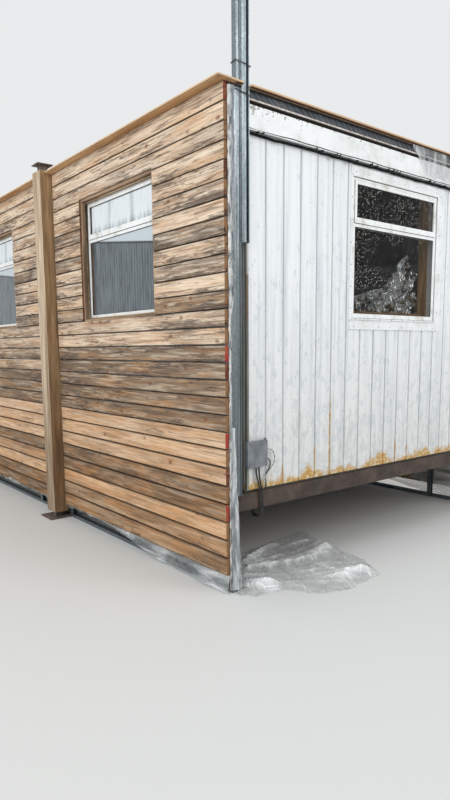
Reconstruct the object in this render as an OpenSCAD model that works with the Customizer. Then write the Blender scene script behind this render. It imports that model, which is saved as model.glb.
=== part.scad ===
// Portable site cabin on jack legs: a ribbed steel-skinned box body whose two long sides
// have been built out with galvanised studs, a polythene membrane and reclaimed boards.
// X runs along the cabin, Z is up, and the origin is on the ground at the body's centre.
// Depth in a side's build-up is measured inwards from the outer face of its boards.

/* [Body] */
// Length of the box body, to the board ends
body_l = 8460; // [8000:20:9200]
// Width of the box body over its own side walls
body_w = 3200; // [3000:10:3300]
// Underside of the body above the ground
floor_z = 665; // [640:5:680]
// Top of the body walls above the ground
wall_top_z = 3024; // [3000:4:3040]
// Thickness of the sandwich walls
wall_t = 60; // [50:5:80]
// Thickness of the floor deck with its joists
floor_t = 60; // [45:5:70]
// Thickness of the body roof with its ceiling
roof_t = 150; // [130:5:160]

/* [End skin] */
// Recess of the ribbed end skin behind the board ends
end_recess = 35; // [35:5:60]
// Depth from the skin's face to its back
skin_t = 12; // [10:1:16]
// Distance between neighbouring grooves
rib_pitch = 166; // [150:1:175]
// Number of grooves across one end
rib_count = 18; // [15:1:18]
// Width of a groove at the skin's face
groove_w = 16; // [10:1:24]
// Depth of a groove
groove_d = 8; // [4:1:9]
// Thickness of the fascia over the skin
fascia_t = 46; // [40:1:47]
// Height of the rubber strip that covers the skin's top edge
strip_h = 30; // [24:2:40]
// How far the rubber strip stands out from the skin
strip_t = 14; // [8:1:20]

/* [Chassis and legs] */
// Depth of the chassis channels
beam_h = 118; // [100:2:140]
// Width of the chassis channels
beam_b = 55; // [45:5:70]
// Thickness of the channels' steel
beam_t = 6; // [5:1:8]
// Number of cross members between the two end channels
cross_count = 11; // [10:1:14]
// Distance of the legs from the cabin's middle
leg_x = 1580; // [1450:10:1700]
// Width of the square leg tube
leg_w = 70; // [60:5:75]
// Wall of the leg tube
leg_wall = 5; // [4:1:6]
// Distance of the leg's axis in front of the boards
leg_out = 44; // [42:1:50]
// Top of the leg tube above the ground
leg_top_z = 3354; // [3330:2:3450]
// Width of the square cap plate
cap_w = 149; // [120:1:160]
// Thickness of the cap plate
cap_t = 8; // [6:1:12]
// Width of the square foot plate
foot_w = 250; // [200:10:280]
// Thickness of the foot plate
foot_t = 12; // [8:1:15]
// Gap between leg and sleeve on each side
sleeve_gap = 2; // [1:0.5:3]
// Wall of the sleeve
sleeve_wall = 5; // [4:1:6]

/* [Side build-up] */
// Depth from the boards' face to the body wall
overclad_t = 195; // [190:1:205]
// Thickness of the boards
board_t = 28; // [22:1:30]
// Height of one upper board with its gap
board_pitch = 113.5; // [110:0.5:116]
// Height of one of the taller lower boards with its gap
low_pitch = 123; // [116:0.5:126]
// Number of rows of the taller boards
low_rows = 7; // [4:1:9]
// Width of the gap between boards
board_gap = 6; // [4:1:8]
// Number of board rows
board_rows = 27; // [25:1:27]
// Underside of the lowest board above the ground
board_z0 = 132; // [100:1:140]
// Depth of the groove that stands for the gap between boards
joint_d = 10; // [6:1:14]
// Depth of the outer studs
outer_stud_d = 50; // [45:1:50]
// Depth of the inner studs
inner_stud_d = 38; // [30:1:38]
// Width of the stud flanges
stud_flange = 40; // [35:1:50]
// Length of the stud lips
stud_lip = 9; // [7:1:12]
// Thickness of the studs' steel
stud_t = 2; // [1.5:0.5:3]
// Thickness of the membrane with its creases
membrane_t = 3; // [2:0.5:4]

/* [Windows and door] */
// Distance between the middles of neighbouring side windows
window_pitch = 2810; // [2700:5:2850]
// Width of the opening in the boards
opening_w = 1180; // [1100:10:1250]
// Underside of the opening in the boards
opening_z0 = 1890; // [1860:5:1910]
// Height of the opening in the boards
opening_h = 1050; // [1000:10:1060]
// Thickness of the timber lining round a side window
lining_t = 20; // [16:1:25]
// Depth of the window frame's face behind the boards' face
frame_in = 66; // [60:1:100]
// Depth of a window frame from front to back
frame_d = 50; // [45:1:60]
// Width of the window frame's bars
frame_bar = 38; // [30:1:45]
// Width of the opening sash's bars inside the frame of the top light
sash_bar = 12; // [8:1:20]
// Height of the opening sash's bottom rail inside the frame
sash_rail = 30; // [20:1:40]
// Depth of the glass behind a window frame's face
glass_in = 6; // [4:1:12]
// Share of the window's height taken by the top light
top_share = 0.345; // [0.3:0.005:0.4]
// Thickness of the glass
glass_t = 6; // [4:1:8]
// Width of an end window over its frame
end_window_w = 1116; // [1000:4:1200]
// Underside of an end window's frame
end_window_z0 = 1874; // [1840:2:1890]
// Height of an end window over its frame
end_window_h = 1046; // [1000:1:1050]
// Distance of an end window's middle behind the cabin's middle
end_window_off = 28; // [0:2:80]
// Width of the flat surround beside an end window
surround_w = 85; // [60:5:100]
// Height of the plain panel under an end window
apron_h = 83; // [70:1:95]
// Width of the doorway in the boards
door_w = 930; // [850:10:1000]
// Height of the doorway above the body's underside
door_h = 2100; // [2050:10:2180]

/* [Roof edge] */
// Thickness of the coping boards
coping_t = 18; // [16:1:24]
// Width of the coping boards
coping_w = 150; // [130:5:180]
// Overhang of the coping past the side boards
coping_side = 65; // [50:5:70]
// Overhang of the coping past the board ends
coping_end = 30; // [20:1:34]
// Thickness of the roof deck
deck_t = 10; // [9:1:14]
// How far the deck reaches past the board ends
deck_end = 12; // [4:1:16]
// Height of the lath over the end fascia
lath_h = 16; // [12:1:20]
// Gap between the fascia and the lath over it
lath_gap = 16; // [8:1:20]

/* [Corner] */
// Top of the tall corner stud above the ground
corner_stud_z = 3860; // [3800:10:3900]
// Underside of the mast above the ground
mast_z0 = 2325; // [2200:5:2400]
// Top of the mast above the ground
mast_z1 = 3920; // [3850:10:4000]
// Width of the mast across the cabin's end
mast_w = 66; // [60:1:70]
// Depth of the mast along the cabin
mast_d = 34; // [30:1:34]
// Width of the battens at the body's corners
batten_w = 30; // [24:1:40]
// Thickness of the battens at the body's corners
batten_t = 6; // [4:0.5:8]
// Width of the isolator box
isolator_w = 180; // [150:2:200]
// Height of the isolator box
isolator_h = 182; // [150:2:200]
// Depth of the isolator box
isolator_d = 40; // [36:2:60]
// Underside of the isolator box above the ground
isolator_z0 = 841; // [800:1:900]

/* [Hidden] */
half_l = body_l / 2;
half_w = body_w / 2 + overclad_t;
skin_x = half_l - end_recess;
wall_x = skin_x - skin_t;
wall_y = body_w / 2;
deck_top_z = floor_z + floor_t;
roof_top_z = wall_top_z + roof_t;
boards_top_z = board_z0 + low_rows * low_pitch + (board_rows - low_rows) * board_pitch;
skin_gap = 18;
skin_z0 = floor_z + skin_gap;
lath_z0 = roof_top_z + lath_gap;
lath_x = half_l + 6;
insulation_in = 2;
packing_in = 30;

outer_stud_gap = 22;
outer_stud_in = board_t + outer_stud_gap;
inner_stud_in = outer_stud_in + outer_stud_d + 2;
mast_in = inner_stud_in + inner_stud_d + 1;
fascia_y = half_w - mast_in - mast_w - 2;
batten_x = skin_x + batten_t;
membrane_in = board_t + 1;
chassis_in = inner_stud_in + 3;
fold_w = 59;
seat_gap = 0.3;

lining_w = opening_w - 8;
lining_h = opening_h - 8;
lining_z0 = opening_z0 + 4;
frame_w = lining_w - 2 * lining_t;
frame_h = lining_h - 2 * lining_t;
frame_z0 = lining_z0 + lining_t;
lining_in = 15;
sash_out = 8;
sash_lap = 10;
trim_t = 5;
head_trim_t = 8;
apron_t = 10;
sill_t = 24;
sill_h = 10;
front_trim_w = 22;

side_windows = [-window_pitch, 0, window_pitch];
back_windows = [-window_pitch, window_pitch];
door_z1 = floor_z + door_h;
door_bar = 40;
door_stop = 14;
door_sill = 30;
door_in = 95;
door_t = 44;

casing_t = 20;
casing_side = 90;
casing_z0 = 60;
casing_z1 = boards_top_z + coping_t + 12;
casing_in = leg_out + leg_w / 2 + sleeve_gap + sleeve_wall + 2;
bay_gap = 12;
leg_spots = [-leg_x, leg_x];
bays = [
    [-half_l, -leg_x - casing_side - bay_gap],
    [-leg_x + casing_side + bay_gap, leg_x - casing_side - bay_gap],
    [leg_x + casing_side + bay_gap, half_l]
];
stud_spacing = 600;
track_h = 30;
packer_h = 125;
packer_rows = 4;
packer_w = 250;
packer_l = 2600;
flap_z0 = 1150;
sleeve_z = [320, 2880];
arm_w = 60;
lid_t = 14;
isolator_in = overclad_t - 9;
isolator_y1 = isolator_in - half_w + isolator_w;
gland_d = 20;
side_gland_d = 14;
knob_d = 20;
knob_h = 16;
arm_high_z = 2760;
wall_plate = 150;
handle_z = 1030;
handle_plate = [36, 150, 9];
handle_bar = [120, 18, 16];
loose_t = 24;

// The cables' routes: down the end of the chassis and up under the floor, and two
// loops from the side of the box to the gap under the skin. X is measured from the
// skin's face, Y from the box's side and Z from the ground.
supply_d = 12;
loop_d = 8;
cable_sides = 8;
under_floor = [
    [22, 547], [18, 522], [7, 499], [-11, 483], [-35, 477], [-58, 483],
    [-76, 499], [-87, 522], [-89, 560], [-89, 612], [-89, 664]
];
supply_a = concat(
    [[21, -87, 827], [21, -87, 800], [22, -79, 765], [24, -69, 725],
     [24, -60, 685], [24, -53, 640], [23, -48, 592]],
    [for (p = under_floor) [p[0], -46, p[1]]]);
supply_b = concat(
    [[21, -61, 827], [21, -61, 800], [21, -57, 765], [22, -49, 725],
     [23, -41, 685], [23, -34, 640], [22, -30, 592]],
    [for (p = under_floor) [p[0] - 1, -28, p[1]]]);
under_skin = [[24, 714], [22, 700], [16, 688], [6, 679], [-3, 675], [-12, 674]];
white_loop = concat(
    [[16, 12, 956], [16, 27, 956], [18, 50, 950], [21, 70, 933], [23, 80, 909],
     [24, 82, 882], [24, 74, 855], [24, 58, 831], [24, 38, 810], [24, 17, 791],
     [24, -1, 769], [24, -11, 742]],
    [for (p = under_skin) [p[0], -13, p[1]]]);
black_loop = concat(
    [[16, 12, 885], [15, 25, 885], [13, 41, 877], [11, 51, 861], [11, 53, 842],
     [11, 46, 822], [11, 33, 804], [11, 19, 788], [12, 8, 769], [16, 2, 750],
     [22, 1, 731]],
    [for (p = under_skin) [p[0], 1, p[1]]]);
gland_h = 16;
side_gland_h = 14;
side_gland_z = [115, 44];

flap_outline = [[1920, 0], [2120, -86], [2690, -130], [2690, 0]];
loose_outline = [
    [-60, 60], [60, 60], [150, 130], [190, 355], [390, 490], [470, 700],
    [420, 1100], [150, 1260], [-260, 1330], [-700, 1440], [-560, 520]
];

// A box given by its low and high limits
module block(x, y, z) {
    translate([x[0], y[0], z[0]])
        cube([x[1] - x[0], y[1] - y[0], z[1] - z[0]]);
}

// A box in the front build-up, y given as depths behind the boards' face
module layer(x, depth, z) {
    block(x, [depth[0] - half_w, depth[1] - half_w], z);
}

module back() {
    mirror([0, 1, 0]) children();
}

module left() {
    mirror([1, 0, 0]) children();
}

module both_ends() {
    children();
    left() children();
}

module both_sides() {
    children();
    back() children();
}

// A steel channel along X, its web's outer face at y = 0 and its flanges towards +Y
module channel_x(x, h, b, t) {
    translate([x[0], 0, 0]) {
        cube([x[1] - x[0], t, h]);
        cube([x[1] - x[0], b, t]);
        translate([0, 0, h - t]) cube([x[1] - x[0], b, t]);
    }
}

// Outline of a lipped stud: web on x = 0, mouth towards +X, depth along Y
module stud_outline(depth, flange) {
    difference() {
        square([flange, depth]);
        translate([stud_t, stud_t]) square([flange - 2 * stud_t, depth - 2 * stud_t]);
        translate([flange / 2, stud_lip]) square([flange, depth - 2 * stud_lip]);
    }
}

// An upright stud with its web at x, its mouth towards -X when turned
module upright(x, depth_in, depth, z, turned = false) {
    translate([x, depth_in - half_w, z[0]])
        mirror([turned ? 1 : 0, 0, 0])
            linear_extrude(z[1] - z[0]) stud_outline(depth, stud_flange);
}

// A plain track that lies along X, its flanges up or down
module track(x, depth_in, depth, z, up = true) {
    web_z = up ? z : z + track_h - stud_t;
    layer(x, [depth_in, depth_in + depth], [web_z, web_z + stud_t]);
    layer(x, [depth_in, depth_in + stud_t], [z, z + track_h]);
    layer(x, [depth_in + depth - stud_t, depth_in + depth], [z, z + track_h]);
}

// Boxes that pass through a side wherever its openings are
module window_cuts(xs, w, z0, h, depth) {
    for (x = xs)
        layer([x - w / 2, x + w / 2], depth, [z0, z0 + h]);
}

module door_cut(w, z1, depth) {
    layer([-w / 2, w / 2], depth, [floor_z - 1, z1]);
}

// One row of the packing stack under the middle of the chassis
module packer_row(w, z) {
    block([-w / 2, w / 2], [-packer_l / 2, packer_l / 2], z);
}

module ground_packers() {
    color("#6b5a48") {
        for (row = [0 : packer_rows - 1])
            packer_row(packer_w - 16 * (row % 2), [row * packer_h, (row + 1) * packer_h]);
        packer_row(packer_w, [packer_rows * packer_h, floor_z - beam_h]);
    }
}

module chassis_frame() {
    beam_z = floor_z - beam_h;
    beam_y = half_w - chassis_in;
    end_x = skin_x + 10;
    color("#5a4a41") translate([0, 0, beam_z]) {
        for (s = [0, 1])
            mirror([0, s, 0])
                translate([0, -beam_y, 0])
                    channel_x([-end_x + beam_b, end_x - beam_b], beam_h, beam_b, beam_t);
        for (s = [0, 1])
            mirror([s, 0, 0]) translate([end_x, 0, 0]) rotate([0, 0, 90])
                channel_x([-beam_y, beam_y], beam_h, beam_b, beam_t);
        for (i = [1 : cross_count])
            translate([-end_x + i * 2 * end_x / (cross_count + 1), 0, 0])
                rotate([0, 0, 90])
                    channel_x([-beam_y + beam_t, beam_y - beam_t], beam_h, beam_b, beam_t);
    }
}

// A square plate centred on the leg's axis, its underside at z
module leg_plate(w, t, z) {
    translate([-w / 2, -w / 2, z]) cube([w, w, t]);
}

module jack_legs() {
    color("#6e6259") both_sides()
        for (x = leg_spots)
            translate([x, -half_w - leg_out, 0]) {
                leg_plate(foot_w, foot_t, 0);
                difference() {
                    leg_plate(leg_w, leg_top_z - foot_t, foot_t);
                    leg_plate(leg_w - 2 * leg_wall, leg_top_z - foot_t - 2 * leg_wall,
                              foot_t + leg_wall);
                }
                leg_plate(cap_w, cap_t, leg_top_z);
            }
}

// Square sleeve round each leg, tied back to the chassis and to the body wall
module leg_sleeves() {
    hole = leg_w + 2 * sleeve_gap;
    outer = hole + 2 * sleeve_wall;
    arm_low = floor_z - beam_h + 20;
    arm_low_z = [arm_low, arm_low + arm_w];
    arm_high = [arm_high_z, arm_high_z + arm_w];
    face = -leg_out + outer / 2 - 1;
    color("#5f554d") both_sides()
        for (x = leg_spots) {
            translate([x, -half_w - leg_out, 0]) difference() {
                leg_plate(outer, sleeve_z[1] - sleeve_z[0], sleeve_z[0]);
                leg_plate(hole, sleeve_z[1] - sleeve_z[0] + 2, sleeve_z[0] - 1);
            }
            layer([x - arm_w / 2, x + arm_w / 2], [face, chassis_in], arm_low_z);
            layer([x - arm_w / 2, x + arm_w / 2], [face, overclad_t], arm_high);
            layer([x - wall_plate / 2, x + wall_plate / 2], [overclad_t - 8, overclad_t],
                  [arm_high[0] - 45, arm_high[1] + 45]);
        }
}

module floor_deck() {
    color("#8a7a63")
        block([-wall_x + wall_t, wall_x - wall_t],
              [-wall_y + wall_t, wall_y - wall_t], [floor_z, deck_top_z]);
}

module side_wall() {
    layer([-wall_x, wall_x], [overclad_t, overclad_t + wall_t], [floor_z, wall_top_z]);
}

module front_wall() {
    color("#d9dbd8") difference() {
        side_wall();
        window_cuts(side_windows, lining_w, lining_z0, lining_h,
                    [overclad_t - 1, overclad_t + wall_t + 1]);
    }
}

module back_wall() {
    color("#d9dbd8") back() difference() {
        side_wall();
        window_cuts(back_windows, lining_w, lining_z0, lining_h,
                    [overclad_t - 1, overclad_t + wall_t + 1]);
        door_cut(door_w, door_z1, [overclad_t - 1, overclad_t + wall_t + 1]);
    }
}

// The opening of an end window, from x0 to x1
module end_cut(x0, x1) {
    block([x0, x1],
          [end_window_off - end_window_w / 2, end_window_off + end_window_w / 2],
          [end_window_z0, end_window_z0 + end_window_h]);
}

module end_wall() {
    difference() {
        block([wall_x - wall_t, wall_x], [-wall_y + wall_t, wall_y - wall_t],
              [floor_z, wall_top_z]);
        end_cut(wall_x - wall_t - 1, wall_x + 1);
    }
}

module right_end_wall() { color("#d4d6d2") end_wall(); }
module left_end_wall() { color("#d4d6d2") left() end_wall(); }

// Ribbed sheet: a flat face with narrow V grooves at every rib line
module end_skin() {
    difference() {
        block([wall_x, skin_x], [-wall_y, wall_y], [skin_z0, wall_top_z]);
        for (i = [0 : rib_count - 1])
            translate([skin_x, (i - (rib_count - 1) / 2) * rib_pitch, floor_z])
                linear_extrude(wall_top_z - floor_z - strip_h)
                    polygon([[1, -groove_w / 2 - 1], [-groove_d, -groove_w / 5],
                             [-groove_d, groove_w / 5], [1, groove_w / 2 + 1]]);
        end_cut(wall_x - 1, skin_x + 1);
    }
}

module right_end_skin() { color("#e6e8e8") end_skin(); }
module left_end_skin() { color("#e6e8e8") left() end_skin(); }

module end_fascias() {
    color("#eceeee") both_ends()
        block([wall_x, wall_x + fascia_t], [-fascia_y, fascia_y], [wall_top_z, roof_top_z]);
}

module drip_strips() {
    color("#26282a") both_ends()
        block([skin_x, skin_x + strip_t], [-wall_y, wall_y],
              [wall_top_z - strip_h, wall_top_z]);
}

module roof_panel() {
    color("#cfd1ce")
        block([-wall_x, wall_x], [-wall_y, wall_y], [wall_top_z, roof_top_z]);
}

// Loose corner of sheet that hangs over the roof's edge at the right end
module end_flap() {
    color("#b9bec2")
        translate([half_l + deck_end, -half_w, boards_top_z]) rotate([90, 0, 90])
            linear_extrude(membrane_t) polygon(flap_outline);
}

module roof_insulation() {
    end_x = half_l - insulation_in;
    low_x = half_l - packing_in;
    lath_z1 = lath_z0 + lath_h;
    color("#3a4048") difference() {
        union() {
            block([-low_x, low_x], [-wall_y, wall_y], [roof_top_z, lath_z1]);
            block([-end_x, end_x], [-wall_y, wall_y], [lath_z1, boards_top_z - deck_t]);
        }
        corner_notch();
    }
}

// Room for the corner stud and the mast through the roof edge, with its clearance
module corner_notch() {
    z = [roof_top_z, mast_z1];
    layer([half_l - stud_flange - 5, half_l + 1],
          [inner_stud_in - 3, mast_in], z);
    layer([batten_x - 4, half_l + coping_end + 1],
          [mast_in - 1, mast_in + mast_w + 3], z);
}

module roof_deck() {
    reach = half_w - board_t;
    color("#8d6f4e") {
        difference() {
            block([-half_l - deck_end, half_l + deck_end], [-reach, reach],
                  [boards_top_z - deck_t, boards_top_z]);
            corner_notch();
        }
        both_ends() {
            block([half_l - packing_in, half_l - packing_in / 2], [-fascia_y, fascia_y],
                  [roof_top_z, lath_z0]);
            block([half_l - packing_in, lath_x], [-fascia_y, fascia_y],
                  [lath_z0, lath_z0 + lath_h]);
        }
    }
}

module coping_boards() {
    z = [boards_top_z, boards_top_z + coping_t];
    end_x = half_l + coping_end;
    edge_y = half_w + coping_side;
    color("#c08a52") difference() {
        block([-end_x, end_x], [-edge_y, edge_y], z);
        block([-end_x + coping_w, end_x - coping_w],
              [-edge_y + coping_w, edge_y - coping_w], [z[0] - 1, z[1] + 1]);
        for (s = [0, 1])
            mirror([0, s, 0])
                for (x = leg_spots)
                    layer([x - casing_side - 4, x + casing_side + 4],
                          [-coping_side - 1, board_t + 4], [z[0] - 1, z[1] + 1]);
        corner_notch();
    }
}

// Places of the uprights along one bay, kept clear of openings and bay ends
function bay_studs(bay, cuts) = [
    for (i = [0 : floor((bay[1] - bay[0]) / stud_spacing) + 1])
        let (x = min(bay[0] + i * stud_spacing, bay[1] - stud_flange))
        if (len([for (c = cuts)
            if (abs(x + stud_flange / 2 - c[0]) < c[1] / 2 + stud_flange / 2 + 4) 1]) == 0) x
];

// Galvanised frame of one side: outer studs from a track on the ground, inner studs
// on the chassis, head tracks, and a trimmed opening round each window
module stud_frame(windows, door) {
    head_z = boards_top_z - deck_t - track_h;
    trim_w = lining_w + 2;
    cuts = [for (x = windows) [x, trim_w]];
    door_cuts = door ? [[0, door_w + 44]] : [];
    for (b = bays) {
        x = [b[0] + 1, b[1] - 1];
        track(x, outer_stud_in, outer_stud_d, 0);
        track(x, outer_stud_in, outer_stud_d, head_z, false);
        track(x, inner_stud_in, inner_stud_d, head_z, false);
        for (s = bay_studs(x, concat(cuts, door_cuts))) {
            last = s > x[1] - stud_flange - 1;
            web_x = last ? s + stud_flange : s;
            upright(web_x, outer_stud_in, outer_stud_d,
                    [stud_t, head_z + track_h - stud_t], last);
            upright(web_x, inner_stud_in, inner_stud_d,
                    [floor_z, head_z + track_h - stud_t], last);
        }
    }
    for (c = cuts) {
        edge = [c[0] - c[1] / 2, c[0] + c[1] / 2];
        for (depth = [[outer_stud_in, outer_stud_d], [inner_stud_in, inner_stud_d]]) {
            upright(edge[0], depth[0], depth[1], [floor_z, head_z + track_h - stud_t], true);
            upright(edge[1], depth[0], depth[1], [floor_z, head_z + track_h - stud_t]);
            track([edge[0] - 1, edge[1] + 1], depth[0], depth[1],
                  lining_z0 - track_h - 1, false);
            track([edge[0] - 1, edge[1] + 1], depth[0], depth[1],
                  lining_z0 + lining_h + 1);
        }
    }
}

module front_stud_frame() {
    color("#9aa3a8") difference() {
        stud_frame(side_windows, false);
        layer([half_l - stud_flange - 14, half_l + 1],
              [inner_stud_in - 1, inner_stud_in + inner_stud_d + 1],
              [floor_z - 1, boards_top_z]);
    }
}

module back_stud_frame() {
    color("#9aa3a8") back() stud_frame(back_windows, true);
}

module membrane(windows, door) {
    hem_z = 12;
    depth = [membrane_in, membrane_in + membrane_t];
    difference() {
        for (b = bays)
            layer([b[0] + 2, b[1] - 2], depth, [hem_z, boards_top_z - deck_t - 4]);
        window_cuts(windows, opening_w + 6, opening_z0 - 3, opening_h + 6,
                    [depth[0] - 1, depth[1] + 1]);
        if (door)
            layer([-door_w / 2 - 30, door_w / 2 + 30], [depth[0] - 1, depth[1] + 1],
                  [floor_z - 14, door_z1 + 30]);
    }
}

module front_membrane() {
    color("#c9ccd0") {
        membrane(side_windows, false);
        fold_z = [flap_z0, boards_top_z - deck_t - 4];
        layer([half_l - 2, half_l + membrane_t], [membrane_in, membrane_in + membrane_t],
              fold_z);
        layer([half_l - 1 + seat_gap, half_l + membrane_t],
              [membrane_in, membrane_in + fold_w], fold_z);
    }
}

module back_membrane() {
    color("#c9ccd0") back() membrane(back_windows, true);
}

// Torn length of the membrane that lies on the ground at the front right corner
module loose_membrane() {
    color("#b9bec2")
        translate([half_l, -half_w, 0])
            linear_extrude(loose_t) polygon(loose_outline);
}

// Height of the joint under a row of boards
function row_z(i) = board_z0 + min(i, low_rows) * low_pitch + max(i - low_rows, 0) * board_pitch;

// Boards of one bay: a slab with a groove at every joint between rows
module bay_boards(bay, windows, door) {
    difference() {
        layer(bay, [0, board_t], [board_z0, boards_top_z]);
        for (i = [1 : board_rows - 1])
            layer([bay[0] - 1, bay[1] + 1], [-1, joint_d],
                  [row_z(i) - board_gap / 2, row_z(i) + board_gap / 2]);
        window_cuts(windows, opening_w, opening_z0, opening_h, [-1, board_t + 1]);
        if (door)
            layer([-door_w / 2 - 24, door_w / 2 + 24], [-1, board_t + 1],
                  [floor_z - 8, door_z1 + 24]);
    }
}

module front_boards_left() { color("#b98d5f") bay_boards(bays[0], [side_windows[0]], false); }
module front_boards_middle() { color("#b98d5f") bay_boards(bays[1], [side_windows[1]], false); }
module front_boards_right() { color("#b98d5f") bay_boards(bays[2], [side_windows[2]], false); }
module back_boards_left() { color("#b98d5f") back() bay_boards(bays[0], [back_windows[0]], false); }
module back_boards_middle() { color("#b98d5f") back() bay_boards(bays[1], [], true); }
module back_boards_right() { color("#b98d5f") back() bay_boards(bays[2], [back_windows[1]], false); }

// Timber box round each leg: a front board and two side boards
module leg_casings() {
    z = [casing_z0, casing_z1];
    color("#b49370") both_sides()
        for (x = leg_spots) {
            layer([x - casing_side, x + casing_side], [-casing_in - casing_t, -casing_in], z);
            for (s = [-1, 1])
                translate([x + s * (casing_side - casing_t / 2), 0, 0])
                    layer([-casing_t / 2, casing_t / 2], [-casing_in, board_t], z);
        }
}

// Window frame in its own plane: x across, y from front to back, z up from its foot
module window_frame(w, h) {
    split_z = h * (1 - top_share);
    difference() {
        translate([-w / 2, 0, 0]) cube([w, frame_d, h]);
        translate([-w / 2 + frame_bar, -1, frame_bar])
            cube([w - 2 * frame_bar, frame_d + 2, split_z - frame_bar]);
        translate([-w / 2 + frame_bar, -1, split_z + frame_bar])
            cube([w - 2 * frame_bar, frame_d + 2, h - split_z - 2 * frame_bar]);
    }
    translate([-w / 2 + frame_bar, -sash_out, split_z + frame_bar]) difference() {
        translate([-sash_lap, 0, -sash_lap])
            cube([w - 2 * frame_bar + 2 * sash_lap, sash_out + glass_in,
                  h - split_z - 2 * frame_bar + 2 * sash_lap]);
        translate([sash_bar, -1, sash_rail])
            cube([w - 2 * (frame_bar + sash_bar), sash_out + glass_in + 2,
                  h - split_z - 2 * frame_bar - sash_bar - sash_rail]);
    }
}

// The two panes that fill a window frame
module window_panes(w, h) {
    split_z = h * (1 - top_share);
    translate([-w / 2 + frame_bar, glass_in, frame_bar])
        cube([w - 2 * frame_bar, glass_t, split_z - frame_bar]);
    translate([-w / 2 + frame_bar, glass_in, split_z + frame_bar])
        cube([w - 2 * frame_bar, glass_t, h - split_z - 2 * frame_bar]);
}

module at_side_windows(xs) {
    for (x = xs)
        translate([x, frame_in - half_w, frame_z0]) children();
}

module at_end_windows() {
    both_ends()
        translate([skin_x - 4, end_window_off, end_window_z0])
            rotate([0, 0, 90]) children();
}

module front_window_frames() {
    color("#eef0f0") at_side_windows(side_windows) window_frame(frame_w, frame_h);
}

module back_window_frames() {
    color("#eef0f0") back() at_side_windows(back_windows) window_frame(frame_w, frame_h);
}

module end_window_frames() {
    color("#eef0f0") at_end_windows() window_frame(end_window_w, end_window_h);
}

module side_glazing() {
    color("#7f98a0") {
        at_side_windows(side_windows) window_panes(frame_w, frame_h);
        back() at_side_windows(back_windows) window_panes(frame_w, frame_h);
    }
}

module end_glazing() {
    color("#54605f") at_end_windows() window_panes(end_window_w, end_window_h);
}

// Timber box that lines a side window's opening through the whole build-up
module window_linings(xs) {
    depth = [lining_in, overclad_t + wall_t];
    for (x = xs)
        difference() {
            layer([x - lining_w / 2, x + lining_w / 2], depth,
                  [lining_z0, lining_z0 + lining_h]);
            layer([x - frame_w / 2, x + frame_w / 2], [depth[0] - 1, depth[1] + 1],
                  [frame_z0, frame_z0 + frame_h]);
        }
}

module front_window_linings() { color("#b4793f") window_linings(side_windows); }
module back_window_linings() { color("#b4793f") back() window_linings(back_windows); }

// Flat trims beside and over an end window, its sill, and the plain panel below it
module end_window_surrounds() {
    y0 = end_window_off - end_window_w / 2;
    y1 = end_window_off + end_window_w / 2;
    z0 = end_window_z0;
    z1 = end_window_z0 + end_window_h;
    top = wall_top_z - strip_h;
    color("#e9ebeb") both_ends() {
        block([skin_x, skin_x + trim_t], [y1, y1 + surround_w], [z0 - apron_h, top]);
        block([skin_x, skin_x + trim_t], [y0 - front_trim_w, y0], [z0, top]);
        block([skin_x, skin_x + head_trim_t], [y0, y1], [z1, top]);
        block([skin_x, skin_x + apron_t], [y0 - front_trim_w / 2, y1],
              [z0 - apron_h, z0 - sill_h]);
        block([skin_x, skin_x + sill_t], [y0 - front_trim_w, y1], [z0 - sill_h, z0]);
    }
}

module door_frame() {
    color("#e4e6e4") back() difference() {
        layer([-door_w / 2, door_w / 2], [60, overclad_t + wall_t], [floor_z, door_z1]);
        layer([-door_w / 2 + door_bar, door_w / 2 - door_bar], [59, door_in + door_t],
              [floor_z + door_sill, door_z1 - door_bar]);
        layer([-door_w / 2 + door_bar + door_stop, door_w / 2 - door_bar - door_stop],
              [door_in + door_t - 1, overclad_t + wall_t + 1],
              [floor_z + door_sill + door_stop, door_z1 - door_bar - door_stop]);
    }
}

module door_leaf() {
    color("#c8ccc9") back() {
        layer([-door_w / 2 + door_bar + 3, door_w / 2 - door_bar - 3],
              [door_in, door_in + door_t],
              [floor_z + door_sill + 3, door_z1 - door_bar - 3]);
        translate([door_w / 2 - door_bar - 70, door_in - half_w, floor_z + handle_z])
            rotate([90, 0, 0]) {
                translate([-handle_plate[0] / 2, -60, -1]) cube(handle_plate);
                cylinder(d = 20, h = 40, $fn = 32);
                translate([10 - handle_bar[0], -handle_bar[1] / 2, 32]) cube(handle_bar);
            }
    }
}

// Tall inner stud that stands on the end of the chassis at the front right corner
module corner_stud() {
    color("#a3abb0")
        upright(half_l - 1, inner_stud_in, inner_stud_d, [floor_z, corner_stud_z], true);
}

// Second stud tied beside it, its mouth turned to the cabin's end between a wide
// lip and a narrow one
module corner_mast() {
    lips = [mast_w * 0.6, mast_w * 0.12];
    color("#b2babf")
        translate([batten_x, mast_in - half_w, mast_z0])
            linear_extrude(mast_z1 - mast_z0)
                difference() {
                    square([mast_d, mast_w]);
                    translate([stud_t, stud_t])
                        square([mast_d - 2 * stud_t, mast_w - 2 * stud_t]);
                    translate([mast_d / 2, lips[0]])
                        square([mast_d, mast_w - lips[0] - lips[1]]);
                }
}

// Upright battens that cover the skin's edges at the body's four corners
module corner_battens() {
    color("#a08f77")
        for (s = [0, 1])
            mirror([0, s, 0]) both_ends()
                layer([skin_x, batten_x], [overclad_t, overclad_t + batten_w],
                      [skin_z0, wall_top_z - strip_h]);
}

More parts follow.
